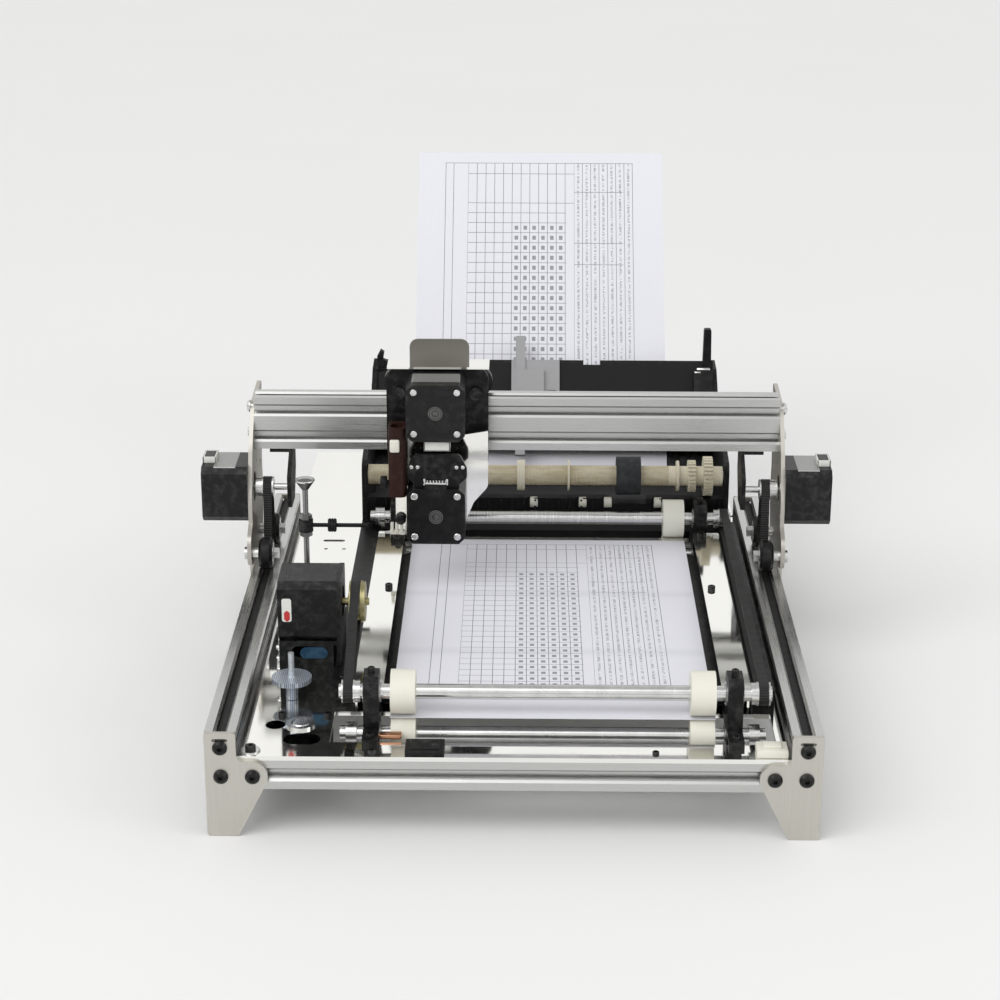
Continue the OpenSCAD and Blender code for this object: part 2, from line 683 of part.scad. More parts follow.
module y_belt_loops() placed() color("#1a1a1a") both_sides() plate_yz(rail_x - belt_w / 2, belt_w)
    polygon(ribbon(omega([gantry_y - wheel_step, wheel_z], [gantry_y, y_motor_z],
        wheel_r + belt_line, pitch_r(y_teeth) - 0.25 + belt_line), belt_t));

module y_pulleys() placed() color("#d0d0d0") both_sides()
    translate([rail_x - belt_w / 2 - 0.3, gantry_y, y_motor_z]) rotate([0, 90, 0]) {
        pulley(y_teeth, belt_w + 0.6, 4.4, shaft_r);
        translate([0, 0, -14.5])
            cylinder(r = shaft_r, h = 14.5 + plate_x + end_plate_t + 12 - rail_x + belt_w / 2);
    }

module wheel_pair(y, z) both_sides() translate([rail_x, y, z]) wheel();

module front_wheels() placed() color("#1d1d1d") wheel_pair(gantry_y - wheel_step, wheel_z);
module rear_wheels() placed() color("#1d1d1d") wheel_pair(gantry_y + wheel_step, wheel_z);
module lower_wheels() placed() color("#1d1d1d") wheel_pair(gantry_y, under_wheel_z);

// ---- pen carriage ----

module at_carriage() translate([carriage_x, 0, 0]) children();

module carriage_plate() placed() color("#151515") at_carriage() plate_xz(car_y, car_t) difference() {
    polygon(rounded([
        [-37, 150, 6], [-22, 130, 6], [22, 130, 6], [37.4, 150, 6], [37.4, 223.5, 10], [-37, 223.5, 10]]));
    for (s = [-1, 1]) translate([s * upper_step, upper_z]) circle(r = bolt_hole_r);
    translate([0, lower_z]) circle(r = bolt_hole_r);
    translate([0, x_motor_z]) {
        circle(r = boss_r + 0.1);
        for (x = [-1, 1], z = [-1, 1]) translate([x, z] * motor_pitch / 2) circle(r = motor_screw_r);
    }
}

module x_motor() placed() color("#141414") at_carriage()
    translate([0, car_y, x_motor_z]) rotate([-90, 0, 0]) stepper(x_motor_len);

module carriage_axles() placed() color("#b9b9b9") at_carriage() {
    for (p = [[-upper_step, upper_z], [upper_step, upper_z], [0, lower_z]])
        translate([p.x, beam_y, p.y]) rotate([0, 0, -90]) axle(beam_y - car_y - car_t, car_t);
    // spacers between the carriage plate and the pen lift plate
    for (x = [4, 30]) rod_y([z_plate_y + z_plate_t, car_y], 3, x, 160);
}

// mirror-bright flange on top of the carriage with an upright finger tab
module top_cover() placed() color("#d9d8d2") at_carriage() {
    block([-36, 38], [car_y - 6, car_y + 15], [223.5, 225]);
    plate_xz(car_y - 6, 1.5) polygon(rounded([
        [-19.4, 224, 0], [-19.4, 246, 6], [23.6, 246, 6], [23.6, 224, 0]]));
}

// mirror-bright plate of the pen lift, with the guide rod's two blocks behind it
module z_plate() placed() color("#d9d8d2") at_carriage() {
    plate_xz(z_plate_y, z_plate_t) difference() {
        polygon(rounded([
            [-30.5, 98, 4], [14, 98, 4], [22, 112, 6], [27, 124, 8], [37.4, 136, 8], [37.4, 179, 1],
            [20, 176, 12], [0, 168, 12], [-27.5, 166, 3], [-27.5, 131, 2], [-30.5, 127, 2]]));
        translate([0, z_motor_z]) circle(r = boss_r + 0.1);
        for (x = [-1, 1], z = [-1, 1]) translate([x * motor_pitch / 2, z_motor_z + z * motor_pitch / 2])
            circle(r = motor_screw_r);
    }
    for (z = [100, 174.5]) block([-24.5, -15.5], [z_plate_y + z_plate_t, 294], [z, z + 4]);
    block([-24.5, -15.5], [z_plate_y, z_plate_y + z_plate_t], [160, 178.5]);
    rod_z([100, 178], guide_r, guide_x - carriage_x, (slide_y[0] + slide_y[1]) / 2);
}

// pen lift motor with its eared adapter plate and connector
module z_motor() placed() color("#141414") at_carriage() {
    difference() {
        union() {
            translate([0, z_plate_y, z_motor_z]) rotate([-90, 0, 0]) stepper(z_motor_len);
            plate_xz(z_plate_y - z_motor_len + 3, 3) polygon(rounded([
                [-20.5, 158, 4], [-16, 168.5, 4], [17.5, 168.5, 4], [22.5, 158, 4], [22.5, 151, 3],
                [17, 146, 2], [17, 138, 0], [-15.5, 138, 0], [-15.5, 146, 2], [-20.5, 151, 3]]));
        }
        for (x = [-17.5, -13, 15, 19.5]) rod_y([255, 275], 1, x, 159);
    }
    block([-8, 8], [z_plate_y - z_motor_len - 1, z_plate_y - 6], [z_motor_z + motor_side / 2 - 0.5, 146.5]);
}

module x_belt_loop() placed() color("#1a1a1a") at_carriage()
    plate_xz(beam_y - belt_w / 2, belt_w)
        polygon(ribbon(omega([-upper_step, upper_z], [0, x_motor_z],
            wheel_r + belt_line, pitch_r(x_teeth) - 0.25 + belt_line), belt_t));

module x_pulley() placed() color("#d0d0d0") at_carriage()
    translate([0, beam_y + belt_w / 2 + 0.3, x_motor_z]) rotate([90, 0, 0]) {
        pulley(x_teeth, belt_w + 0.6, 5, shaft_r);
        cylinder(r = shaft_r, h = beam_y + belt_w / 2 + 0.3 - car_y + 12);
    }

module carriage_wheel(x, z) at_carriage() translate([x, beam_y, z]) rotate([0, 0, 90]) wheel();

module upper_wheel_left() placed() color("#1d1d1d") carriage_wheel(-upper_step, upper_z);
module upper_wheel_right() placed() color("#1d1d1d") carriage_wheel(upper_step, upper_z);
module lower_wheel() placed() color("#1d1d1d") carriage_wheel(0, lower_z);

module z_pinion() placed() color("#c8a95a") at_carriage()
    translate([0, slide_y[0], z_motor_z]) rotate([-90, 0, 0]) {
        linear_extrude(slide_y[1] - slide_y[0]) polygon(teeth(15, pinion_r, 1.4));
        translate([0, 0, -14]) cylinder(r = shaft_r, h = 20);
    }

// slide with its rack, arm and pen clamp
module pen_slide() placed() color("#3a2219") difference() {
    block_z = [146, 168];
    clear = pinion_r + gap;
    union() {
        block([pen_x - pen_half, carriage_x - 8], slide_y, block_z);
        difference() {
            block([carriage_x - 14, carriage_x - clear], slide_y, [112, block_z[0]]);
            for (i = [0:12]) translate([carriage_x - clear - 1.2, slide_y[0] - 1, 113 + 2.5 * i])
                cube([2, slide_y[1] - slide_y[0] + 2, 1.3]);
        }
        block([pen_x - pen_half, arm_side], [pen_y + 8, slide_y[1]], block_z);
        translate([0, 0, pen_z[0]]) linear_extrude(pen_z[1] - pen_z[0]) polygon(rounded([
            [pen_x - pen_half, pen_y - 9, 4], [pen_x + pen_half, pen_y - 9, 4],
            [pen_x + pen_half, pen_y + 11, 2], [pen_x - pen_half, pen_y + 11, 2]]));
    }
    rod_z([pen_z[0] - 1, pen_z[1] + 1], pen_r, pen_x, pen_y);
    rod_z([block_z[0] - 1, block_z[1] + 1], guide_r + fit, guide_x, (slide_y[0] + slide_y[1]) / 2);
}

side_rails();
front_rail();
rear_rail();
front_feet();
rear_feet();
frame_screws();
base_plate();
y_belts();
paper_bed();
steel_strips();
side_bars();
roller_brackets();
feed_motor();
motor_bracket();
feed_belts();
gauge_post();
feeder_housing();
hopper_tray();
bed_paper();
hopper_paper();
button_bezel();
power_button();
gauge_arm();
clamp_knob();
paper_guide();
feeder_tube();
pickup_roller();
feed_pulley();
front_lower_shaft();
front_lower_rollers();
front_upper_shaft();
front_upper_rollers();
rear_lower_roller();
rear_upper_roller();
gantry_plate_left();
gantry_plate_right();
gantry_beam();
y_motor_left();
y_motor_right();
inner_brackets();
gantry_axles();
x_belt();
y_belt_loops();
y_pulleys();
front_wheels();
rear_wheels();
lower_wheels();
carriage_plate();
x_motor();
carriage_axles();
top_cover();
z_plate();
z_motor();
x_belt_loop();
x_pulley();
upper_wheel_left();
upper_wheel_right();
lower_wheel();
z_pinion();
pen_slide();
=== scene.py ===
"""Looks of the desktop gantry pen plotter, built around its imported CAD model."""
import math

import bmesh
import bpy
from mathutils import Matrix, Vector


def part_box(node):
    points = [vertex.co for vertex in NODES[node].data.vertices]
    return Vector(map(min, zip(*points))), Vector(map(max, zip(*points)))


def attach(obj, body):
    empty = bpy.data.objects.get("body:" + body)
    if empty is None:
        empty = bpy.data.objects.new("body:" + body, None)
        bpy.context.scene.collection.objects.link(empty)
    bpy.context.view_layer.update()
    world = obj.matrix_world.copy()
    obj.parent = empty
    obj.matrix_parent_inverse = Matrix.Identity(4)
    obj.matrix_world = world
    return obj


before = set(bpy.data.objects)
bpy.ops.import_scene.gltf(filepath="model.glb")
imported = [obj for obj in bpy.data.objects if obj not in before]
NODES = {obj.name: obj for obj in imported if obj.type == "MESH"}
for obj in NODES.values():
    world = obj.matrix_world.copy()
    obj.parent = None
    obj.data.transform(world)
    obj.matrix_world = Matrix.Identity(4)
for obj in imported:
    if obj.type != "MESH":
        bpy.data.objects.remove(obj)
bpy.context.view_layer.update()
MM = 0.001
PAPER_X = 25.0
CAR_X = -58.0
HOPPER_SLOPE = math.radians(50.9)
POST_X, POST_Y = -152.0, 255.0
MOTOR_HALF = 21.15 * MM


# ---------------------------------------------------------------- camera, light, floor

FRONT_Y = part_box("front_feet")[0].y


def add_camera():
    """Camera at the height, distance and tilt from which the machine is seen."""
    pitch, yaw, roll = (math.radians(a) for a in (19.94, -0.56, 0.16))
    ahead = Vector((math.sin(yaw) * math.cos(pitch), math.cos(yaw) * math.cos(pitch), -math.sin(pitch)))
    level = Vector((math.cos(yaw), -math.sin(yaw), 0))
    above = level.cross(ahead)
    right = level * math.cos(roll) + above * math.sin(roll)
    up = above * math.cos(roll) - level * math.sin(roll)
    data = bpy.data.cameras.new("camera")
    data.sensor_width = 36
    data.lens = 83.34
    data.clip_end = 50
    cam = bpy.data.objects.new("camera", data)
    cam.matrix_world = Matrix((
        (right.x, up.x, -ahead.x, 0.0038),
        (right.y, up.y, -ahead.y, FRONT_Y - 1.3139),
        (right.z, up.z, -ahead.z, 0.7058),
        (0, 0, 0, 1)))
    bpy.context.scene.collection.objects.link(cam)
    bpy.context.scene.camera = cam


def add_softbox(name, place, target, size, power):
    data = bpy.data.lights.new(name, "AREA")
    data.shape = "RECTANGLE"
    data.size, data.size_y = size
    data.energy = power
    lamp = bpy.data.objects.new(name, data)
    lamp.location = place
    lamp.rotation_euler = (Vector(target) - Vector(place)).to_track_quat("-Z", "Y").to_euler()
    bpy.context.scene.collection.objects.link(lamp)


def add_studio():
    """Even pale surroundings, brighter overhead, with a soft sun and two softboxes."""
    world = bpy.data.worlds.new("studio")
    world.use_nodes = True
    tree = world.node_tree
    sky = tree.nodes["Background"]
    place = tree.nodes.new("ShaderNodeTexCoord").outputs["Generated"]
    height = tree.nodes.new("ShaderNodeSeparateXYZ")
    tree.links.new(place, height.inputs[0])
    ramp = tree.nodes.new("ShaderNodeValToRGB")
    tree.links.new(height.outputs["Z"], ramp.inputs[0])
    stops = ((0.0, 0.40), (0.10, 0.55), (0.20, 0.95), (0.42, 1.10), (0.62, 0.74), (1.0, 0.58))
    for i, (where, light) in enumerate(stops):
        stop = ramp.color_ramp.elements[i] if i < 2 else ramp.color_ramp.elements.new(where)
        stop.position = where
        stop.color = (light, light, light * 0.99, 1)
    tree.links.new(ramp.outputs["Color"], sky.inputs["Color"])
    sky.inputs["Strength"].default_value = 0.92
    bpy.context.scene.world = world
    sun = bpy.data.lights.new("soft_sun", "SUN")
    sun.energy = 0.85
    sun.angle = math.radians(50)
    lamp = bpy.data.objects.new("soft_sun", sun)
    lamp.rotation_euler = (math.radians(28), math.radians(-24), 0)
    bpy.context.scene.collection.objects.link(lamp)
    add_softbox("key_left", (-1.5, -1.0, 1.5), (0, 0, 0.1), (0.9, 0.9), 5)
    add_softbox("fill_right", (1.6, -0.9, 1.2), (0, 0, 0.1), (0.7, 1.0), 3.5)
    bpy.context.scene.view_settings.view_transform = "Standard"
    bpy.context.scene.view_settings.look = "None"


# ---------------------------------------------------------------- materials


class Graph:
    """A material's node graph, with short calls to add and join nodes."""

    def __init__(self, name):
        self.material = bpy.data.materials.new(name)
        self.material.use_nodes = True
        self.tree = self.material.node_tree
        self.tree.nodes.clear()
        self.shader = self.add("ShaderNodeBsdfPrincipled")
        output = self.add("ShaderNodeOutputMaterial")
        self.tree.links.new(self.shader.outputs[0], output.inputs[0])
        self.place = self.add("ShaderNodeTexCoord").outputs["Object"]

    def add(self, kind, settings=None, **inputs):
        node = self.tree.nodes.new(kind)
        for key, value in (settings or {}).items():
            setattr(node, key, value)
        for key, value in inputs.items():
            self.put(node, key.replace("_", " "), value)
        return node

    def put(self, node, key, value):
        socket = node.inputs[int(key)] if key.isdigit() else node.inputs[key]
        if isinstance(value, bpy.types.NodeSocket):
            self.tree.links.new(value, socket)
        else:
            socket.default_value = value

    def math(self, operation, a, b=0.0):
        node = self.add("ShaderNodeMath", {"operation": operation})
        self.put(node, "0", a)
        self.put(node, "1", b)
        return node.outputs[0]

    def noise(self, scale, stretch=(1, 1, 1), detail=4.0, rough=0.6):
        mapped = self.add("ShaderNodeMapping", Vector=self.place, Scale=stretch).outputs[0]
        return self.add("ShaderNodeTexNoise", Vector=mapped, Scale=scale, Detail=detail,
                        Roughness=rough).outputs["Fac"]

    def ramp(self, value, low, high, to_low=0.0, to_high=1.0):
        node = self.add("ShaderNodeMapRange", Value=value)
        for key, number in zip(("From Min", "From Max", "To Min", "To Max"), (low, high, to_low, to_high)):
            node.inputs[key].default_value = number
        return node.outputs[0]

    def blend(self, factor, a, b):
        node = self.add("ShaderNodeMix", {"data_type": "RGBA"})
        self.put(node, "0", factor)
        for key, value in (("6", a), ("7", b)):
            self.put(node, key, value if isinstance(value, bpy.types.NodeSocket) else (*value[:3], 1))
        return node.outputs[2]

    def bump(self, height, depth, strength=1.0, under=None):
        node = self.add("ShaderNodeBump", Height=height, Distance=depth, Strength=strength)
        if under is not None:
            self.put(node, "Normal", under)
        return node.outputs[0]

    def axis(self, name):
        return self.add("ShaderNodeSeparateXYZ", Vector=self.place).outputs[name]

    def finish(self, **inputs):
        for key, value in inputs.items():
            if isinstance(value, tuple):
                value = (*value, 1)
            self.put(self.shader, key.replace("_", " "), value)
        return self.material


def edge_wear(g, colour, bright, amount=0.35):
    """Colour that turns a little brighter on worn convex edges."""
    point = g.add("ShaderNodeNewGeometry").outputs["Pointiness"]
    edge = g.math("MULTIPLY", g.ramp(point, 0.54, 0.64), amount)
    patchy = g.math("MULTIPLY", edge, g.ramp(g.noise(180), 0.45, 0.65))
    return g.blend(patchy, colour, bright)


def radius_from(g, axis, centre):
    """Distance of a surface point from a line along X, Y or Z through the centre."""
    terms = []
    for i, name in enumerate("XYZ"):
        if name != axis:
            off = g.math("SUBTRACT", g.axis(name), centre[i])
            terms.append(g.math("MULTIPLY", off, off))
    return g.math("SQRT", g.math("ADD", *terms))


def brushed(name, colour, along, rough=0.3, depth=0.00002, cloud_depth=0.10):
    """Satin metal with fine lines along one axis."""
    g = Graph(name)
    stretch = [1.0, 1.0, 1.0]
    stretch["XYZ".index(along)] = 0.012
    lines = g.noise(2600, stretch, detail=3)
    cloud = g.noise(14, detail=3)
    scuff = g.ramp(g.noise(70, detail=6), 0.60, 0.80, 0.0, cloud_depth)
    tone = g.blend(g.ramp(lines, 0.3, 0.7), tuple(c * 0.90 for c in colour), colour)
    tone = g.blend(scuff, tone, tuple(c * 0.55 for c in colour))
    shade = g.ramp(g.math("ADD", g.math("MULTIPLY", lines, 0.5), g.math("MULTIPLY", cloud, 0.5)),
                   0.35, 0.65, rough - 0.06, rough + 0.08)
    return g.finish(Base_Color=tone, Metallic=1.0, Roughness=shade, Normal=g.bump(lines, depth, 0.35))


def polished(name, colour, rough=0.04, reflected_dark=None, reflection_from=None):
    """Mirror-bright sheet steel with wiping marks; above a height it may turn to a painted dark reflection, darker
    towards the top.
    """
    g = Graph(name)
    smear = g.noise(22, (1, 0.4, 1), detail=5)
    fine = g.noise(900, (0.03, 1, 1), detail=2)
    waves = g.noise(9, detail=1)
    shade = g.ramp(g.math("ADD", smear, g.math("MULTIPLY", fine, 0.25)), 0.5, 0.85, rough, rough + 0.08)
    tone = g.blend(g.ramp(smear, 0.35, 0.7), tuple(c * 0.96 for c in colour), colour)
    if reflected_dark:
        # painted reflection: above the height the steel takes a dark tone, darker towards the top, standing in for
        # dark surroundings mirrored in it
        mask = g.math("GREATER_THAN", g.axis("Z"), reflection_from)
        fade = g.ramp(g.axis("Z"), reflection_from, reflection_from + 0.021)
        tone = g.blend(mask, tone, g.blend(fade, reflected_dark, tuple(c * 0.62 for c in reflected_dark)))
        shade = g.math("ADD", shade, g.math("MULTIPLY", mask, 0.30))
    return g.finish(Base_Color=tone, Metallic=1.0, Roughness=shade, Normal=g.bump(waves, 0.0004, 0.2))


def coated(name, colour, rough=0.42, grain=900, depth=0.00004, worn=(0.10, 0.10, 0.10), gloss=0.2):
    """Painted, anodised or moulded dark surface with a fine grain, faint dust and worn edges."""
    g = Graph(name)
    g.put(g.shader, "Specular IOR Level", gloss)
    speck = g.noise(grain, detail=3)
    cloud = g.noise(26, detail=5)
    dust = g.ramp(g.math("MULTIPLY", cloud, speck), 0.24, 0.48, 0.0, 0.30)
    tone = g.blend(dust, colour, tuple(min(1, c * 1.8 + 0.004) for c in colour))
    tone = edge_wear(g, tone, worn)
    shade = g.ramp(g.math("ADD", g.math("MULTIPLY", speck, 0.6), g.math("MULTIPLY", cloud, 0.4)),
                   0.35, 0.65, rough - 0.05, rough + 0.09)
    return g.finish(Base_Color=tone, Roughness=shade, Normal=g.bump(speck, depth, 0.5))


def motor_with_lit_steel_top(name, axis, sign, cap_from, steel_from, top):
    """Black motor body whose top shows laminated grey steel between two places along its axis; the steel is painted
    on the top face only, as painted sheen of the overhead light, while the sides stay black.
    """
    g = Graph(name)
    speck = g.noise(700, detail=3)
    along = g.axis(axis) if sign > 0 else g.math("MULTIPLY", g.axis(axis), -1.0)
    mask = g.math("MULTIPLY", g.math("GREATER_THAN", along, steel_from), g.math("LESS_THAN", along, cap_from))
    # painted sheen: only faces above this height get the lighter steel, standing in for light on the top
    mask = g.math("MULTIPLY", mask, g.math("GREATER_THAN", g.axis("Z"), top))
    sheets = g.math("SINE", g.math("MULTIPLY", g.axis(axis), 2 * math.pi / 0.0008))
    steel = g.blend(g.ramp(sheets, -0.6, 0.6), (0.34, 0.34, 0.335), (0.47, 0.47, 0.46))
    black = edge_wear(g, g.blend(speck, (0.005, 0.005, 0.0055), (0.012, 0.012, 0.012)), (0.12, 0.12, 0.12))
    shade = g.math("ADD", g.ramp(speck, 0.3, 0.7, 0.28, 0.38), g.math("MULTIPLY", mask, 0.08))
    g.put(g.shader, "Specular IOR Level", 0.25)
    return g.finish(Base_Color=g.blend(mask, black, steel), Metallic=g.math("MULTIPLY", mask, 0.8),
                    Roughness=shade, Normal=g.bump(g.math("MULTIPLY", sheets, mask), 0.00006, 0.4))


def machined(name, colour, rough=0.22, ring=(1, 0.02, 0.02)):
    """Turned steel or brass: fine rings along X and a soft cloudy tone."""
    g = Graph(name)
    rings = g.noise(1500, ring, detail=2)
    cloud = g.noise(60, detail=3)
    tone = g.blend(g.ramp(cloud, 0.35, 0.65), tuple(c * 0.84 for c in colour), colour)
    shade = g.ramp(rings, 0.3, 0.7, rough - 0.04, rough + 0.06)
    return g.finish(Base_Color=tone, Metallic=1.0, Roughness=shade, Normal=g.bump(rings, 0.000006, 0.3))


def moulded_tones(g, colour, dirt, grain):
    """Tone, roughness and orange peel of a light moulding with a little grime."""
    stain = g.noise(45, detail=5)
    tone = g.blend(g.ramp(stain, 0.52, 0.85, 0.0, 0.35), colour, dirt)
    return tone, stain, g.noise(grain, detail=2)


def plastic(name, colour, rough=0.45, grain=500, dirt=(0.5, 0.46, 0.36), depth=0.00003):
    g = Graph(name)
    tone, stain, peel = moulded_tones(g, colour, dirt, grain)
    shade = g.ramp(stain, 0.3, 0.7, rough - 0.05, rough + 0.08)
    return g.finish(Base_Color=tone, Roughness=shade, Normal=g.bump(peel, depth, 0.4))


def roller_on_shaft(name, centre, half_path):
    """Steel shaft and collars with cream rollers, told apart by radius and by place along X."""
    g = Graph(name)
    cream, _, peel = moulded_tones(g, (0.82, 0.81, 0.72), (0.55, 0.52, 0.42), 500)
    rings = g.noise(1500, (1, 0.02, 0.02), detail=2)
    steel = g.blend(g.ramp(rings, 0.3, 0.7), (0.60, 0.60, 0.60), (0.76, 0.76, 0.75))
    wide = g.math("GREATER_THAN", radius_from(g, "X", centre), 0.0054)
    along = g.math("ABSOLUTE", g.math("SUBTRACT", g.axis("X"), centre[0]))
    mask = g.math("MULTIPLY", wide, g.math("LESS_THAN", along, half_path))
    metal = g.math("SUBTRACT", 1.0, mask)
    shade = g.math("ADD", g.math("MULTIPLY", mask, 0.24), g.ramp(rings, 0.3, 0.7, 0.18, 0.28))
    return g.finish(Base_Color=g.blend(mask, steel, cream), Metallic=metal, Roughness=shade,
                    Normal=g.bump(peel, 0.00002, 0.3))


def feeder_moulding(name, centre, gears_from):
    """Ribbed tan tube with cream flanges and cream gears at its right end."""
    g = Graph(name)
    tan, stain, peel = moulded_tones(g, (0.52, 0.45, 0.30), (0.27, 0.21, 0.12), 300)
    streaks = g.ramp(g.noise(260, (0.16, 1, 1), detail=4), 0.42, 0.62, 0.0, 0.55)
    tan = g.blend(streaks, tan, (0.72, 0.66, 0.50))
    cream, _, _ = moulded_tones(g, (0.76, 0.71, 0.56), (0.42, 0.36, 0.24), 400)
    wide = g.math("GREATER_THAN", radius_from(g, "X", centre), 0.0082)
    gears = g.math("GREATER_THAN", g.axis("X"), gears_from)
    mask = g.math("MAXIMUM", wide, gears)
    ribs = g.math("SINE", g.math("MULTIPLY", g.axis("X"), 2 * math.pi / 0.0022))
    shade = g.ramp(stain, 0.3, 0.7, 0.34, 0.5)
    return g.finish(Base_Color=g.blend(mask, tan, cream), Roughness=shade,
                    Normal=g.bump(ribs, 0.00018, 0.5, g.bump(peel, 0.00004, 0.4)))


def rubber(name, along=("Y",), pitch=0.002):
    """Black belt rubber with cross ribs."""
    g = Graph(name)
    place = g.axis(along[0])
    for other in along[1:]:
        place = g.math("ADD", place, g.axis(other))
    ribs = g.math("SINE", g.math("MULTIPLY", place, 2 * math.pi / pitch))
    dust = g.noise(120, detail=5)
    tone = g.blend(g.ramp(dust, 0.50, 0.85), (0.008, 0.008, 0.008), (0.030, 0.029, 0.027))
    return g.finish(Base_Color=tone, Roughness=g.ramp(dust, 0.3, 0.7, 0.5, 0.68),
                    Normal=g.bump(ribs, 0.0003, 0.6))


def knurled(name, colour, centre):
    """Disc whose face carries a fine cross pattern of light and dark specks: painted glints and reflection for the
    light its knurling catches, over a cross bump of the knurl itself.
    """
    g = Graph(name)
    u = g.math("MULTIPLY", g.math("ADD", g.axis("X"), g.axis("Y")), 2 * math.pi / 0.0026)
    v = g.math("MULTIPLY", g.math("SUBTRACT", g.axis("X"), g.axis("Y")), 2 * math.pi / 0.0026)
    cross = g.math("MULTIPLY", g.math("SINE", u), g.math("SINE", v))
    on_disc = g.math("GREATER_THAN", radius_from(g, "Z", centre), 0.0035)
    # painted glints and reflection: the blue-grey specks stand in for light caught by the knurl
    painted_glint = g.math("MULTIPLY", g.ramp(cross, -0.2, 0.5), on_disc)
    tone = g.blend(painted_glint, colour, (0.20, 0.25, 0.36))
    grain = g.noise(800, detail=3)
    return g.finish(Base_Color=tone, Metallic=0.55, Roughness=g.ramp(grain, 0.3, 0.7, 0.25, 0.4),
                    Normal=g.bump(cross, 0.00012, 0.5))


def ruled_paper(name, corner, across, down, folds=()):
    """White sheet with a faint printed table, measured across and down from its top left corner.
    It holds ruled columns and rows, grey dots in some cells and plain dashes, and no lettering."""
    g = Graph(name)
    offset = g.add("ShaderNodeVectorMath", {"operation": "SUBTRACT"})
    g.put(offset, "0", g.place)
    g.put(offset, "1", corner)

    def run(direction):
        dot = g.add("ShaderNodeVectorMath", {"operation": "DOT_PRODUCT"})
        g.put(dot, "0", offset.outputs[0])
        g.put(dot, "1", direction)
        return g.math("MULTIPLY", dot.outputs["Value"], 1000.0)

    u, v = run(across), run(down)

    def between(value, low, high):
        return g.math("MULTIPLY", g.math("GREATER_THAN", value, low), g.math("LESS_THAN", value, high))

    def area(u0, u1, v0, v1):
        return g.math("MULTIPLY", between(u, u0, u1), between(v, v0, v1))

    def line(value, at, width=0.45):
        return g.math("LESS_THAN", g.math("ABSOLUTE", g.math("SUBTRACT", value, at)), width / 2)

    def off_centre(value, start, pitch):
        part = g.math("FRACT", g.math("DIVIDE", g.math("SUBTRACT", value, start), pitch))
        return g.math("ABSOLUTE", g.math("SUBTRACT", part, 0.5))

    def rules(value, start, pitch, width=0.45):
        return g.math("GREATER_THAN", off_centre(value, start, pitch), 0.5 - width / pitch / 2)

    def either(parts):
        total = parts[0]
        for part in parts[1:]:
            total = g.math("MAXIMUM", total, part)
        return total

    left, mid_0, mid_1, right_0, right, top, foot = 22.6, 42.4, 126.7, 133.7, 184.4, 10.0, 272.0
    first_row = 48.5
    body = area(mid_0, mid_1, first_row, foot)
    ink = either(
        [g.math("MULTIPLY", area(left, right, top, foot), line(u, x)) for x in (left + 0.3, 29.8, right - 0.3)]
        + [g.math("MULTIPLY", area(left, right, top, foot), line(v, y)) for y in (top + 0.3, foot - 0.3)]
        + [g.math("MULTIPLY", area(mid_0, mid_1 + 0.3, top, foot), rules(u, mid_0, 7.6)),
           g.math("MULTIPLY", area(right_0, right, top, foot), rules(u, right_0, 7.2)),
           g.math("MULTIPLY", body, rules(v, first_row, 9.4))]
        + [g.math("MULTIPLY", between(u, mid_0, right_0), line(v, y)) for y in (20.5, first_row)]
        + [g.math("MULTIPLY", between(u, right_0, 175.7), line(v, y)) for y in (38.0, 86.5, 106.5)])
    near = g.math("LESS_THAN", g.math("MAXIMUM", off_centre(u, mid_0, 7.6), off_centre(v, first_row, 9.4)), 0.2)
    dots = g.math("MULTIPLY", area(80.9, mid_1, 70.0, foot), near)
    dash = g.math("MULTIPLY", g.math("LESS_THAN", off_centre(u, right_0, 7.2), 0.13),
                  g.math("GREATER_THAN", g.noise(900, (0.4, 1, 1), 1), 0.50))
    dashes = g.math("MULTIPLY", area(right_0, right, top, foot), dash)
    marks = g.math("MAXIMUM", g.math("MULTIPLY", dots, 0.8), g.math("MULTIPLY", dashes, 0.6))
    fibre = g.noise(1400, detail=3)
    white = g.blend(g.ramp(fibre, 0.3, 0.7), (0.77, 0.77, 0.83), (0.82, 0.82, 0.88))
    for place in folds:
        shadow = g.ramp(g.math("ABSOLUTE", g.math("SUBTRACT", v, place)), 0.0, 9.0, 0.22, 0.0)
        white = g.blend(shadow, white, (0.50, 0.50, 0.56))
    tone = g.blend(g.math("MAXIMUM", ink, marks), white, (0.19, 0.19, 0.23))
    return g.finish(Base_Color=tone, Roughness=0.7, Normal=g.bump(fibre, 0.00003, 0.4))


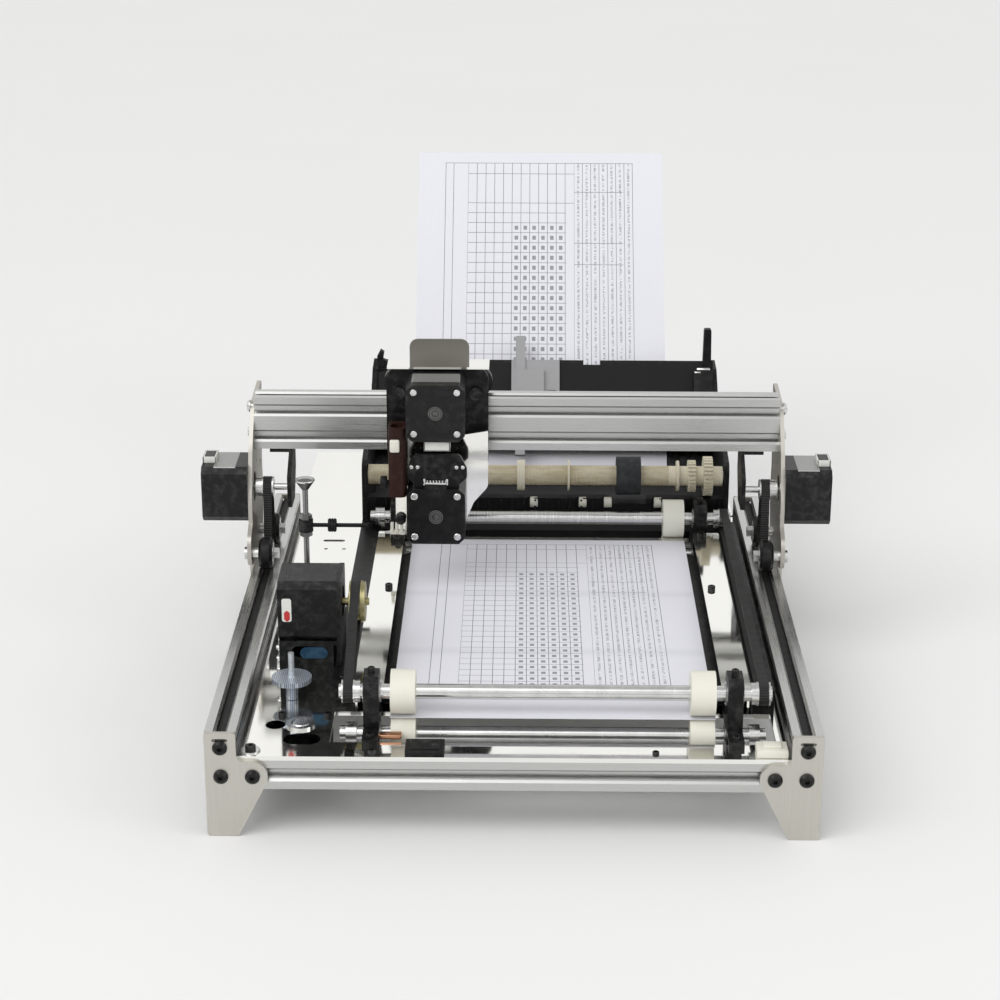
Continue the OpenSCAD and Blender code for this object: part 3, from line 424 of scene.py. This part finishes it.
def make_materials():
    m = {}
    silver = (0.60, 0.60, 0.585)
    m["rail_x"] = brushed("rail_aluminium_x", silver, "X", 0.28)
    m["rail_y"] = brushed("rail_aluminium_y", silver, "Y", 0.28)
    m["plate"] = brushed("end_plate_metal", (0.62, 0.60, 0.55), "Z", 0.40, cloud_depth=0.2)
    m["polished"] = polished("polished_steel", (0.93, 0.925, 0.89))
    # the top cover's tab carries a painted dark reflection above this height
    flange_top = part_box("top_cover")[0].z + 0.0016
    m["tab"] = polished("flange_steel", (0.93, 0.925, 0.89), 0.05, (0.30, 0.285, 0.25), flange_top)
    m["screw"] = coated("black_oxide", (0.010, 0.010, 0.010), 0.27, worn=(0.22, 0.22, 0.21))
    m["belt_y"] = rubber("belt_rubber_y", ("Y", "Z"))
    m["belt_x"] = rubber("belt_rubber_x", ("X", "Z"))
    m["black"] = coated("black_coating", (0.006, 0.006, 0.006), 0.38)
    m["motor"] = coated("motor_paint", (0.005, 0.005, 0.0055), 0.30, 700, 0.00002)
    m["moulded"] = coated("black_moulding", (0.007, 0.007, 0.0072), 0.46, 1400, 0.00005)
    m["wheel"] = coated("black_acetal", (0.008, 0.008, 0.008), 0.27, 300, 0.00002)
    m["steel"] = machined("bright_steel", (0.76, 0.76, 0.75))
    m["steel_y"] = machined("bright_steel_y", (0.74, 0.74, 0.73), 0.25, (0.02, 1, 0.02))
    m["dark_axle"] = machined("dark_axle_steel", (0.16, 0.16, 0.155), 0.3, (0.02, 1, 0.02))
    m["cream"] = plastic("cream_plastic", (0.80, 0.785, 0.69))
    m["nylon"] = plastic("white_nylon", (0.78, 0.78, 0.74), 0.38, 900, (0.50, 0.49, 0.43))
    m["grey"] = plastic("grey_plastic", (0.34, 0.34, 0.35), 0.5, 700, (0.24, 0.24, 0.25))
    m["pickup"] = coated("pickup_rubber", (0.032, 0.034, 0.037), 0.62, 1600, 0.0001, (0.09, 0.09, 0.09))
    m["brass"] = machined("dull_brass", (0.44, 0.40, 0.21), 0.32)
    m["copper"] = machined("copper", (0.62, 0.33, 0.20), 0.3)
    m["brown"] = coated("brown_moulding", (0.026, 0.009, 0.006), 0.5, 900, 0.00005, (0.06, 0.03, 0.025))
    m["dark_steel"] = machined("dark_steel", (0.30, 0.30, 0.29), 0.3, (0.02, 0.02, 1))
    m["red"] = plastic("red_print", (0.55, 0.03, 0.03), 0.5, 700, (0.35, 0.02, 0.02))
    m["board"] = coated("circuit_board", (0.006, 0.022, 0.012), 0.35, 600, 0.00003, (0.1, 0.12, 0.08))
    m["blue"] = coated("blue_connector", (0.012, 0.045, 0.085), 0.35, 600, 0.00003, (0.10, 0.2, 0.3))
    for key, node, shaft_z in (("rear_upper", "rear_upper_roller", 0.080),
                               ("rear_lower", "rear_lower_roller", 0.050)):
        lo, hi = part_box(node)
        m[key] = roller_on_shaft(key, (PAPER_X * MM, (lo.y + hi.y) / 2, shaft_z), 0.110)
    # steel shows on top of these motors between their two black end caps: the laminations are real, but they are
    # painted on the top face only, as painted sheen of the light that face catches
    lo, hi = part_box("x_motor")
    m["x_motor"] = motor_with_lit_steel_top("x_motor_body", "Y", 1, hi.y - 0.012, lo.y + 0.009, lo.z + 0.0415)
    lo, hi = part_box("y_motor_left")
    m["y_motor_left"] = motor_with_lit_steel_top("left_motor_body", "X", -1, -lo.x - 0.009, -hi.x + 0.011, lo.z + 0.0415)
    lo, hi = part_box("y_motor_right")
    m["y_motor_right"] = motor_with_lit_steel_top("right_motor_body", "X", 1, hi.x - 0.009, lo.x + 0.011, lo.z + 0.0415)
    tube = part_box("pickup_roller")
    m["tan"] = feeder_moulding("tan_plastic", [(tube[0][i] + tube[1][i]) / 2 for i in range(3)], 0.119)
    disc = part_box("clamp_knob")
    m["disc"] = knurled("disc_metal", (0.66, 0.70, 0.74), [(disc[0][i] + disc[1][i]) / 2 for i in range(3)])
    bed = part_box("bed_paper")
    m["bed_sheet"] = ruled_paper("bed_sheet", (bed[0].x, bed[1].y, bed[1].z), (1, 0, 0), (0, -1, 0), (110, 215))
    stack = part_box("hopper_paper")
    m["stack_sheet"] = ruled_paper("stack_sheet", (stack[0].x, stack[1].y, stack[1].z), (1, 0, 0),
                                   (0, -math.cos(HOPPER_SLOPE), -math.sin(HOPPER_SLOPE)))
    return m


def paint(names, material):
    for name in names.split():
        slots = NODES[name].data.materials
        slots.clear()
        slots.append(material)


def soften_edges(names, width):
    """Rounds the long edges of CAD pieces a little, so that they catch the light."""
    for name in names.split():
        bevel = NODES[name].modifiers.new("edges", "BEVEL")
        bevel.width = width
        bevel.segments = 2
        bevel.limit_method = "ANGLE"
        bevel.angle_limit = math.radians(50)
        bevel.harden_normals = True


def finish_cad(m):
    paint("front_rail rear_rail gantry_beam", m["rail_x"])
    paint("side_rails", m["rail_y"])
    paint("front_feet rear_feet gantry_plate_left gantry_plate_right", m["plate"])
    paint("base_plate steel_strips z_plate", m["polished"])
    paint("top_cover", m["tab"])
    paint("frame_screws", m["screw"])
    paint("y_belts feed_belts y_belt_loops", m["belt_y"])
    paint("x_belt x_belt_loop", m["belt_x"])
    paint("paper_bed side_bars roller_brackets inner_brackets carriage_plate motor_bracket", m["black"])
    paint("feed_motor z_motor", m["motor"])
    for name in ("x_motor", "y_motor_left", "y_motor_right"):
        paint(name, m[name])
    paint("feeder_housing hopper_tray gauge_arm", m["moulded"])
    paint("front_wheels rear_wheels lower_wheels upper_wheel_left upper_wheel_right lower_wheel", m["wheel"])
    paint("front_lower_shaft front_upper_shaft gantry_axles button_bezel power_button y_pulleys", m["steel"])
    paint("carriage_axles", m["screw"])
    paint("x_pulley", m["steel_y"])
    paint("clamp_knob", m["disc"])
    paint("front_lower_rollers front_upper_rollers", m["cream"])
    paint("rear_upper_roller", m["rear_upper"])
    paint("rear_lower_roller", m["rear_lower"])
    paint("feeder_tube", m["tan"])
    paint("pickup_roller", m["pickup"])
    paint("paper_guide", m["grey"])
    paint("z_pinion feed_pulley", m["brass"])
    paint("pen_slide", m["brown"])
    paint("gauge_post", m["dark_steel"])
    paint("bed_paper", m["bed_sheet"])
    paint("hopper_paper", m["stack_sheet"])
    soften_edges("feed_motor y_motor_left y_motor_right x_motor z_motor", 0.0004)
    soften_edges("front_feet rear_feet gantry_plate_left gantry_plate_right", 0.0003)
    soften_edges("front_lower_rollers front_upper_rollers", 0.0006)
    soften_edges("roller_brackets motor_bracket pen_slide paper_guide", 0.0004)


# ---------------------------------------------------------------- small pieces in mesh code

def spot(x, y, z):
    """Place given in mm, with y counted from the front face of the front feet."""
    return Vector((x * MM, FRONT_Y + y * MM, z * MM))


def turn_to(direction):
    """Rotation that carries +Z to the direction."""
    return Vector(direction).normalized().to_track_quat("Z", "Y").to_matrix()


HEX = "hex"


def turned(bm, place, direction, profile, sides=32):
    """Adds a turned solid. The profile holds (radius, height) in mm from the axis round to the
    axis, or a closed ring when no radius is 0; a third entry makes that ring six-sided."""
    turn = turn_to(direction)
    rings = []
    for entry in profile:
        r, h = entry[0] * MM, entry[1] * MM
        if r == 0:
            rings.append([bm.verts.new(place + turn @ Vector((0, 0, h)))])
            continue
        ring = []
        for i in range(sides):
            a = 2 * math.pi * i / sides
            k = 1.0
            if len(entry) > 2:
                part = (a % (math.pi / 3)) - math.pi / 6
                k = math.cos(math.pi / 6) / math.cos(part)
            ring.append(bm.verts.new(place + turn @ Vector((r * k * math.cos(a), r * k * math.sin(a), h))))
        rings.append(ring)
    pairs = list(zip(rings, rings[1:]))
    if len(rings[0]) > 1 and len(rings[-1]) > 1:
        pairs.append((rings[-1], rings[0]))
    for a, b in pairs:
        for i in range(sides):
            j = (i + 1) % sides
            corners = [a[i % len(a)], a[j % len(a)], b[j % len(b)], b[i % len(b)]]
            face = []
            for v in corners:
                if v not in face:
                    face.append(v)
            if len(face) > 2:
                bm.faces.new(face)


def rounded_box(bm, low, high, r=0.6, steps=3):
    """Adds a box with all its edges rounded; corners are given as spot() places."""
    size = high - low
    r = min(r * MM, min(size) * 0.45)
    made = bmesh.ops.create_cube(bm, size=1.0)["verts"]
    for v in made:
        v.co = Vector(((low[i] + high[i]) / 2 + v.co[i] * size[i] for i in range(3)))
    edges = list({e for v in made for e in v.link_edges})
    bmesh.ops.bevel(bm, geom=edges, offset=r, segments=steps, affect="EDGES", profile=0.5)


def plate_shape(bm, outline, place, across, along, depth):
    """Adds a flat plate from an outline in mm, laid out along two directions and given a depth."""
    across, along = Vector(across), Vector(along)
    out = across.cross(along) * depth * MM
    front = [bm.verts.new(place + across * u * MM + along * v * MM + out) for u, v in outline]
    back = [bm.verts.new(v.co - out) for v in front]
    n = len(front)
    bm.faces.new(front)
    bm.faces.new(list(reversed(back)))
    for i in range(n):
        bm.faces.new((back[i], back[(i + 1) % n], front[(i + 1) % n], front[i]))


def cut_rectangle(w, h, c):
    """Rectangle outline about its middle with its corners cut by c."""
    w, h = w / 2, h / 2
    return [(w - c, -h), (w, -h + c), (w, h - c), (w - c, h), (-w + c, h), (-w, h - c), (-w, -h + c), (-w + c, -h)]


def add_piece(name, bm, material, body, sharp=40):
    bmesh.ops.recalc_face_normals(bm, faces=bm.faces)
    mesh = bpy.data.meshes.new(name)
    bm.to_mesh(mesh)
    bm.free()
    mesh.polygons.foreach_set("use_smooth", [True] * len(mesh.polygons))
    mesh.set_sharp_from_angle(angle=math.radians(sharp))
    mesh.materials.append(material)
    piece = bpy.data.objects.new(name, mesh)
    bpy.context.scene.collection.objects.link(piece)
    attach(piece, body)
    return piece


def pan_head(r=2.7, h=1.5, deep=0.9, key=1.25):
    """Profile of a pan-head screw with a six-sided recess."""
    return [(0, h - deep), (key, h - deep, HEX), (key, h, HEX), (r * 0.62, h), (r * 0.88, h * 0.82),
            (r, h * 0.45), (r, 0), (0, 0)]


def cap_head(r=2.75, h=3.0, key=1.3):
    """Profile of a socket cap screw."""
    return [(0, h - 1.6), (key, h - 1.6, HEX), (key, h, HEX), (r - 0.35, h), (r, h - 0.35), (r, 0), (0, 0)]


def washer(inner, outer, h):
    return [(inner, 0), (outer, 0), (outer, h * 0.8), (outer - 0.15, h), (inner + 0.1, h), (inner, h * 0.8)]


def nut(r, h, bore):
    """Profile of a hex nut round a stud."""
    return [(bore, 0), (r * 0.93, 0), (r, h * 0.12, HEX), (r, h * 0.88, HEX), (r * 0.93, h), (bore, h)]


def motor_trim(m, name, body, face, out, side_a, side_b, pitch=15.5):
    """Cap screws, end bearing and shaft end on a motor's outer face."""
    bm = bmesh.new()
    a, b = Vector(side_a), Vector(side_b)
    for i in (-1, 1):
        for j in (-1, 1):
            seat = face + (a * i + b * j) * pitch * MM - Vector(out) * 0.98 * MM
            turned(bm, seat, out, pan_head(2.6, 0.95, 0.7, 1.3))
    add_piece(name + "_screws", bm, m["steel"], body)
    bm = bmesh.new()
    inset = face - Vector(out) * 0.58 * MM
    turned(bm, inset, out, [(4.4, 0), (5.3, 0), (5.3, 0.44), (5.0, 0.55), (4.6, 0.55), (4.4, 0.44)])
    turned(bm, inset, out, [(0, 0.56), (1.5, 0.56), (2.2, 0.4), (2.2, 0), (0, 0)])
    turned(bm, inset, out, [(2.6, 0), (4.1, 0), (4.1, 0.28), (2.6, 0.28)])
    add_piece(name + "_end_bearing", bm, m["dark_axle"], body)


def motors(m):
    """Trim on the five motors."""
    x_lo, x_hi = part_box("x_motor")
    z_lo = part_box("z_motor")[0]
    mid = CAR_X * MM
    front, right, up = (0, -1, 0), (1, 0, 0), (0, 0, 1)
    motor_trim(m, "x_motor", "carriage", Vector((mid, x_lo.y, (x_lo.z + x_hi.z) / 2)), front, right, up)
    motor_trim(m, "z_motor", "carriage", Vector((mid, z_lo.y, z_lo.z + MOTOR_HALF)), front, right, up)
    for side, sign in (("left", -1), ("right", 1)):
        lo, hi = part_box("y_motor_" + side)
        face = Vector((lo.x if sign < 0 else hi.x, (lo.y + hi.y) / 2, lo.z + MOTOR_HALF))
        motor_trim(m, "y_motor_" + side, "gantry", face, (sign, 0, 0), (0, 1, 0), (0, 0, 1))
    lo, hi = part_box("feed_motor")
    face = Vector((lo.x, (lo.y + hi.y) / 2, (lo.z + hi.z) / 2))
    motor_trim(m, "feed_motor", "frame", face, (-1, 0, 0), (0, 1, 0), (0, 0, 1))


def socket_shell(bm, low, high, wall=0.9, opening="Z"):
    """Open-topped connector housing: four walls round a floor."""
    w = wall * MM
    i = "XYZ".index(opening)
    a, b = [k for k in range(3) if k != i]

    def part(**limits):
        lo, hi = Vector(low), Vector(high)
        for key, value in limits.items():
            axis, end = int(key[1]), key[0]
            if end == "l":
                lo[axis] = value
            else:
                hi[axis] = value
        rounded_box(bm, lo, hi, 0.25, 2)

    part(**{"h%d" % i: low[i] + 2 * w})
    part(**{"h%d" % a: low[a] + w})
    part(**{"l%d" % a: high[a] - w})
    part(**{"h%d" % b: low[b] + w})
    part(**{"l%d" % b: high[b] - w})


def pins(bm, low, high, count, along, up, length=3.0):
    """Row of square pins standing in a connector."""
    middle = (low + high) / 2
    i, k = "XYZ".index(along), "XYZ".index(up)
    for n in range(count):
        centre = Vector(middle)
        centre[i] = low[i] + (high[i] - low[i]) * (n + 0.5) / count
        centre[k] = low[k]
        half = Vector((0.32, 0.32, 0.32)) * MM
        top = centre + half
        top[k] = centre[k] + length * MM
        rounded_box(bm, centre - half, top, 0.12, 1)


def connectors(m):
    """Light connector housings and their pins on the motors."""
    for side, sign in (("left", -1), ("right", 1)):
        hi_x = sign * 231.6
        x = sorted((hi_x, hi_x - sign * 9.4))
        low, high = spot(x[0], 302.6, 145.5), spot(x[1], 319.4, 151.8)
        bm = bmesh.new()
        socket_shell(bm, low, high)
        add_piece("y_motor_%s_connector" % side, bm, m["nylon"], "gantry")
        bm = bmesh.new()
        pins(bm, low + Vector((0.0015, 0.0015, 0.0015)), high - Vector((0.0015, 0.0015, 0.002)), 6, "Y", "Z", 3.6)
        add_piece("y_motor_%s_pins" % side, bm, m["steel"], "gantry")
    bm = bmesh.new()
    socket_shell(bm, spot(-66.5, 262.2, 170.8), spot(-47.5, 272, 178.4), 1.0, "Y")
    add_piece("x_motor_connector", bm, m["nylon"], "carriage")
    bm = bmesh.new()
    rounded_box(bm, spot(-65.8, 258.0, 146.7), spot(-50.0, 261.6, 148.3), 0.4, 3)
    for i in range(7):
        x = -64.6 + i * 2.2
        rounded_box(bm, spot(x, 258.2, 148.0), spot(x + 1.1, 261.4, 150.0), 0.2, 2)
    for x in (-67.0, -50.6):
        rounded_box(bm, spot(x, 257.9, 146.5), spot(x + 1.6, 261.7, 151.3), 0.3, 2)
    add_piece("z_motor_connector", bm, m["steel"], "carriage")
    bm = bmesh.new()
    for x, z in ((-17.5, 159), (-13, 159), (15, 159), (19.5, 159)):
        turned(bm, spot(CAR_X + x, 261.6, z), (0, -1, 0), pan_head(1.5, 0.9, 0.5, 0.7), 24)
    add_piece("adapter_screws", bm, m["steel"], "carriage")


def bearing_profile():
    """Ring of a ball bearing let into a wheel: outer race, shield and inner race."""
    return [(3.2, 0), (7.9, 0), (7.9, 0.22), (7.2, 0.28), (6.9, 0.10), (4.9, 0.10), (4.6, 0.26), (3.2, 0.26)]


def wheel_bearings(m):
    """Bearings on both faces of every wheel, each riding with its wheel."""
    for body in ("front_wheels", "rear_wheels", "lower_wheels"):
        lo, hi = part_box(body)
        bm = bmesh.new()
        for sign in (-1, 1):
            outer = hi.x if sign > 0 else lo.x
            for face, out in ((outer, sign), (outer - sign * 0.0102, -sign)):
                turned(bm, Vector((face, (lo.y + hi.y) / 2, (lo.z + hi.z) / 2)), (out, 0, 0), bearing_profile())
        add_piece(body + "_bearings", bm, m["steel"], body)
    for body in ("upper_wheel_left", "upper_wheel_right", "lower_wheel"):
        lo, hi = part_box(body)
        bm = bmesh.new()
        for face, out in ((lo.y, -1), (hi.y, 1)):
            turned(bm, Vector(((lo.x + hi.x) / 2, face, (lo.z + hi.z) / 2)), (0, out, 0), bearing_profile())
        add_piece(body + "_bearing", bm, m["steel_y"], body)


def frame_trim(m):
    """Screws, washers and the corner block on the frame and base plate."""
    bm = bmesh.new()
    for x, y in ((-152, 63), (-122, 63), (60, 592), (-60, 592)):
        turned(bm, spot(x, y, 55.0), (0, 0, 1), cap_head(2.6, 2.4))
    for side in (-1, 1):
        for y in (72, 237, 345):
            turned(bm, spot(PAPER_X + side * 116.5, y, 75.5), (0, 0, 1), cap_head(2.7, 2.8))
        for y in (90, 380):
            turned(bm, spot(PAPER_X + side * 138.75, y, 70), (0, 0, 1), cap_head(2.4, 2.0))
        for y in (48 - 24, 48 + 24):
            turned(bm, spot(PAPER_X + side * 117, y, 59), (0, 0, 1), cap_head(2.4, 2.4))
    for x in (-90, 90):
        turned(bm, spot(x, 10.5, 55.0), (0, 0, 1), cap_head(2.2, 1.6))
    add_piece("deck_screws", bm, m["screw"], "frame")
    bm = bmesh.new()
    turned(bm, spot(-167, 11, 55.0), (0, 0, 1), washer(2.9, 6.2, 1.0))
    add_piece("corner_washer", bm, m["steel"], "frame")
    bm = bmesh.new()
    turned(bm, spot(-167, 11, 55.9), (0, 0, 1), cap_head(3.4, 3.0, 1.6))
    add_piece("corner_bolt", bm, m["screw"], "frame")
    bm = bmesh.new()
    rounded_box(bm, spot(153.5, 4.2, 55.0), spot(173.5, 19.5, 60.2), 1.0)
    rounded_box(bm, spot(157.5, 8, 59.8), spot(169.5, 16, 62.0), 0.8)
    add_piece("corner_block", bm, m["cream"], "frame")
    bm = bmesh.new()
    rounded_box(bm, spot(-86, 27, 55.4), spot(-72, 33.5, 58.6), 0.8)
    turned(bm, spot(-86, 30.2, 57), (-1, 0, 0), [(0, 2.6), (1.1, 2.4), (1.5, 0), (0, 0)], 20)
    add_piece("copper_terminal", bm, m["copper"], "frame")
    bm = bmesh.new()
    rounded_box(bm, spot(-69, 4.6, 55.0), spot(-44, 23.8, 58.2), 0.9)
    rounded_box(bm, spot(-66, 7.2, 58.0), spot(-47, 21.2, 58.8), 0.5)
    add_piece("front_block", bm, m["moulded"], "frame")


def control_tray(m):
    """Open tray with a circuit board under the button and the slot of the base plate."""
    bm = bmesh.new()
    x, y, z, wall = (-168, -119), (24, 66), (36, 51.9), 1.2
    rounded_box(bm, spot(x[0], y[0], z[0]), spot(x[1], y[1], z[0] + wall), 0.3, 2)
    for low in (x[0], x[1] - wall):
        rounded_box(bm, spot(low, y[0], z[0]), spot(low + wall, y[1], z[1]), 0.3, 2)
    for low in (y[0], y[1] - wall):
        rounded_box(bm, spot(x[0], low, z[0]), spot(x[1], low + wall, z[1]), 0.3, 2)
    add_piece("control_tray", bm, m["moulded"], "frame")
    bm = bmesh.new()
    rounded_box(bm, spot(-166, 26, 37.1), spot(-150, 64, 38.6), 0.2, 1)
    for place in ((-163, 31), (-156, 33), (-162, 56)):
        rounded_box(bm, spot(place[0], place[1], 38.5), spot(place[0] + 4, place[1] + 3, 40.4), 0.2, 1)
    add_piece("control_board", bm, m["board"], "frame")


def feed_motor_trim(m):
    """Blank label with a red patch, oval connector and wire ends on the feed motor and its riser."""
    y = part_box("feed_motor")[0].y
    place = Vector((0, y, 0))

    def flat(outline, x, z, depth, rise):
        bm = bmesh.new()
        plate_shape(bm, outline, place + Vector((x * MM, -rise * MM, z * MM)), (1, 0, 0), (0, 0, 1), depth)
        return bm

    add_piece("motor_label", flat(cut_rectangle(6.4, 16.5, 1.0), -152, 111, 0.25, 0.0), m["nylon"], "frame")
    patch = flat(cut_rectangle(3.8, 7.4, 1.4), -151.8, 106.8, 0.12, 0.25)
    add_piece("motor_label_patch", patch, m["red"], "frame")
    bm = bmesh.new()
    bar = [(5.35 * end + 3.95 * math.cos(t), 3.95 * math.sin(t))
           for end, start in ((1, -math.pi / 2), (-1, math.pi / 2))
           for t in (start + math.pi * i / 12 for i in range(13))]
    plate_shape(bm, bar, spot(-134.6, 110.0, 79.5), (1, 0, 0), (0, 0, 1), 1.0)
    add_piece("riser_connector", bm, m["blue"], "frame")
    bm = bmesh.new()
    for z in (66, 74, 82):
        turned(bm, spot(-158.0, 112.5, z), (-1, 0, 0), pan_head(1.8, 2.2, 0.8, 0.8), 24)
    add_piece("riser_screws", bm, m["steel"], "frame")


def feeder_trim(m):
    """Idler rollers and ribs under the feeder tube, a sensor block and latch marks on the cover."""
    bm = bmesh.new()
    for x in (13.7, 52, 71.7, 110.8):
        turned(bm, spot(x - 3.1, 395.0, 84.5), (1, 0, 0),
               [(0, 0), (3.6, 0), (4.2, 0.5), (4.2, 5.7), (3.6, 6.2), (0, 6.2)], 28)
    add_piece("idler_rollers", bm, m["cream"], "frame")
    bm = bmesh.new()
    for x in range(-112, 160, 9):
        if not 68 <= x <= 106:
            rounded_box(bm, spot(x, 391.2, 72.3), spot(x + 1.6, 392.9, 87.6), 0.4, 2)
    add_piece("guide_ribs", bm, m["moulded"], "frame")
    on_cover = Matrix.Rotation(HOPPER_SLOPE, 3, "X")
    foot = spot(0, 492, 73)

    def leaned_box(bm, x, u, w, r=0.6):
        first = len(bm.verts)
        rounded_box(bm, Vector((x[0], u[0], w[0])) * MM, Vector((x[1], u[1], w[1])) * MM, r, 2)
        bm.verts.ensure_lookup_table()
        for v in bm.verts[first:]:
            v.co = foot + on_cover @ v.co

    bm = bmesh.new()
    leaned_box(bm, (146, 162), (67, 88), (10.9, 18), 1.0)
    leaned_box(bm, (147, 150), (24, 66), (10.9, 13.2))
    leaned_box(bm, (-119, 162), (22, 25), (10.9, 11.2), 0.1)
    leaned_box(bm, (-119, -100), (88, 91), (10.9, 12.6))
    add_piece("cover_trim", bm, m["moulded"], "frame")
    bm = bmesh.new()
    leaned_box(bm, (149, 160), (86.8, 88.8), (12, 18.2), 0.4)
    leaned_box(bm, (147, 152), (84, 85.4), (17.4, 18.4), 0.3)
    add_piece("cover_clips", bm, m["steel"], "frame")


def pen_clamp(m):
    """Thumb screw and cream wedge on the pen holder, and the knob and plug of the pen lift."""
    x = CAR_X - 28
    bm = bmesh.new()
    turned(bm, spot(x - 6.3, 270, 144.5), (-1, 0, 0),
           [(0, 0), (1.6, 0), (1.6, 1.4), (4.2, 1.4), (4.6, 1.9), (4.6, 5.6), (4.1, 6.2), (0, 6.4)], 28)
    add_piece("pen_clamp_screw", bm, m["moulded"], "pen_slide")
    bm = bmesh.new()
    rounded_box(bm, spot(-91, 260.4, 170.0), spot(-84, 263.4, 179.5), 1.2)
    add_piece("pen_wedge", bm, m["cream"], "pen_slide")
    bm = bmesh.new()
    turned(bm, spot(-84.8, 284.9, 111.0), (0, -1, 0),
           [(0, 0), (3.6, 0), (3.9, 0.6), (3.9, 3.2), (3.0, 4.0), (0, 4.2)], 28)
    add_piece("lift_stop_knob", bm, m["screw"], "carriage")
    bm = bmesh.new()
    for dx in (-36.5, -33.0, -29.5):
        rounded_box(bm, spot(CAR_X + dx + 2, 282.2, 100.5), spot(CAR_X + dx + 4.2, 287, 107.5), 0.5, 2)
    rounded_box(bm, spot(CAR_X - 35, 283.4, 98.6), spot(CAR_X - 24, 287, 102), 0.6, 2)
    add_piece("lift_plug", bm, m["cream"], "carriage")


def post_trim(m):
    """Flared cup and knurled thumb nut of the gauge post."""
    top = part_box("gauge_post")[1].z
    bm = bmesh.new()
    turned(bm, Vector((POST_X * MM, spot(0, POST_Y, 0).y, top)), (0, 0, 1),
           [(4.2, 0.0), (7.0, 0.0), (7.2, 0.6), (7.0, 1.1), (6.4, 1.1), (4.6, -0.0)], 36)
    add_piece("post_rim", bm, m["steel"], "frame")
    bm = bmesh.new()
    for i in range(3):
        turned(bm, spot(POST_X + 16.6 + i * 1.8, POST_Y, 116.5), (1, 0, 0),
               [(4.5, 0), (5.0, 0.3), (5.0, 1.2), (4.5, 1.5)], 24)
    add_piece("thumb_nut_rings", bm, m["moulded"], "gauge_arm")


def bracket_trim(m):
    """Set screws and bearings of the roller brackets."""
    bm = bmesh.new()
    for y in (48, 372):
        for side in (-1, 1):
            for z in (50, 80):
                for face, out in ((111.9, -1), (122.1, 1)):
                    turned(bm, spot(PAPER_X + side * face, y, z), (side * out, 0, 0),
                           [(5.2, 0), (8.0, 0), (8.0, 0.5), (7.4, 0.8), (6.9, 0.5), (6.3, 0.5),
                            (6.0, 0.8), (5.2, 0.8)], 32)
    add_piece("shaft_bearings", bm, m["steel"], "frame")
    bm = bmesh.new()
    for y in (48, 372):
        for side in (-1, 1):
            turned(bm, spot(PAPER_X + side * 117, y, 93), (0, 0, 1), cap_head(2.4, 4.0, 1.2))
    add_piece("bracket_screws", bm, m["screw"], "frame")


def add_floor():
    bpy.ops.mesh.primitive_plane_add(size=60, location=(0, 0, -0.0002))
    floor = bpy.context.object
    floor.name = "floor"
    g = Graph("floor")
    tone = g.blend(g.noise(2.5, detail=2), (0.865, 0.865, 0.865), (0.885, 0.885, 0.885))
    floor.data.materials.append(g.finish(Base_Color=tone, Roughness=0.9))


add_camera()
add_studio()
add_floor()
MATERIALS = make_materials()
finish_cad(MATERIALS)
for build in (motors, connectors, wheel_bearings, frame_trim, control_tray, feed_motor_trim, feeder_trim, pen_clamp,
              post_trim, bracket_trim):
    build(MATERIALS)
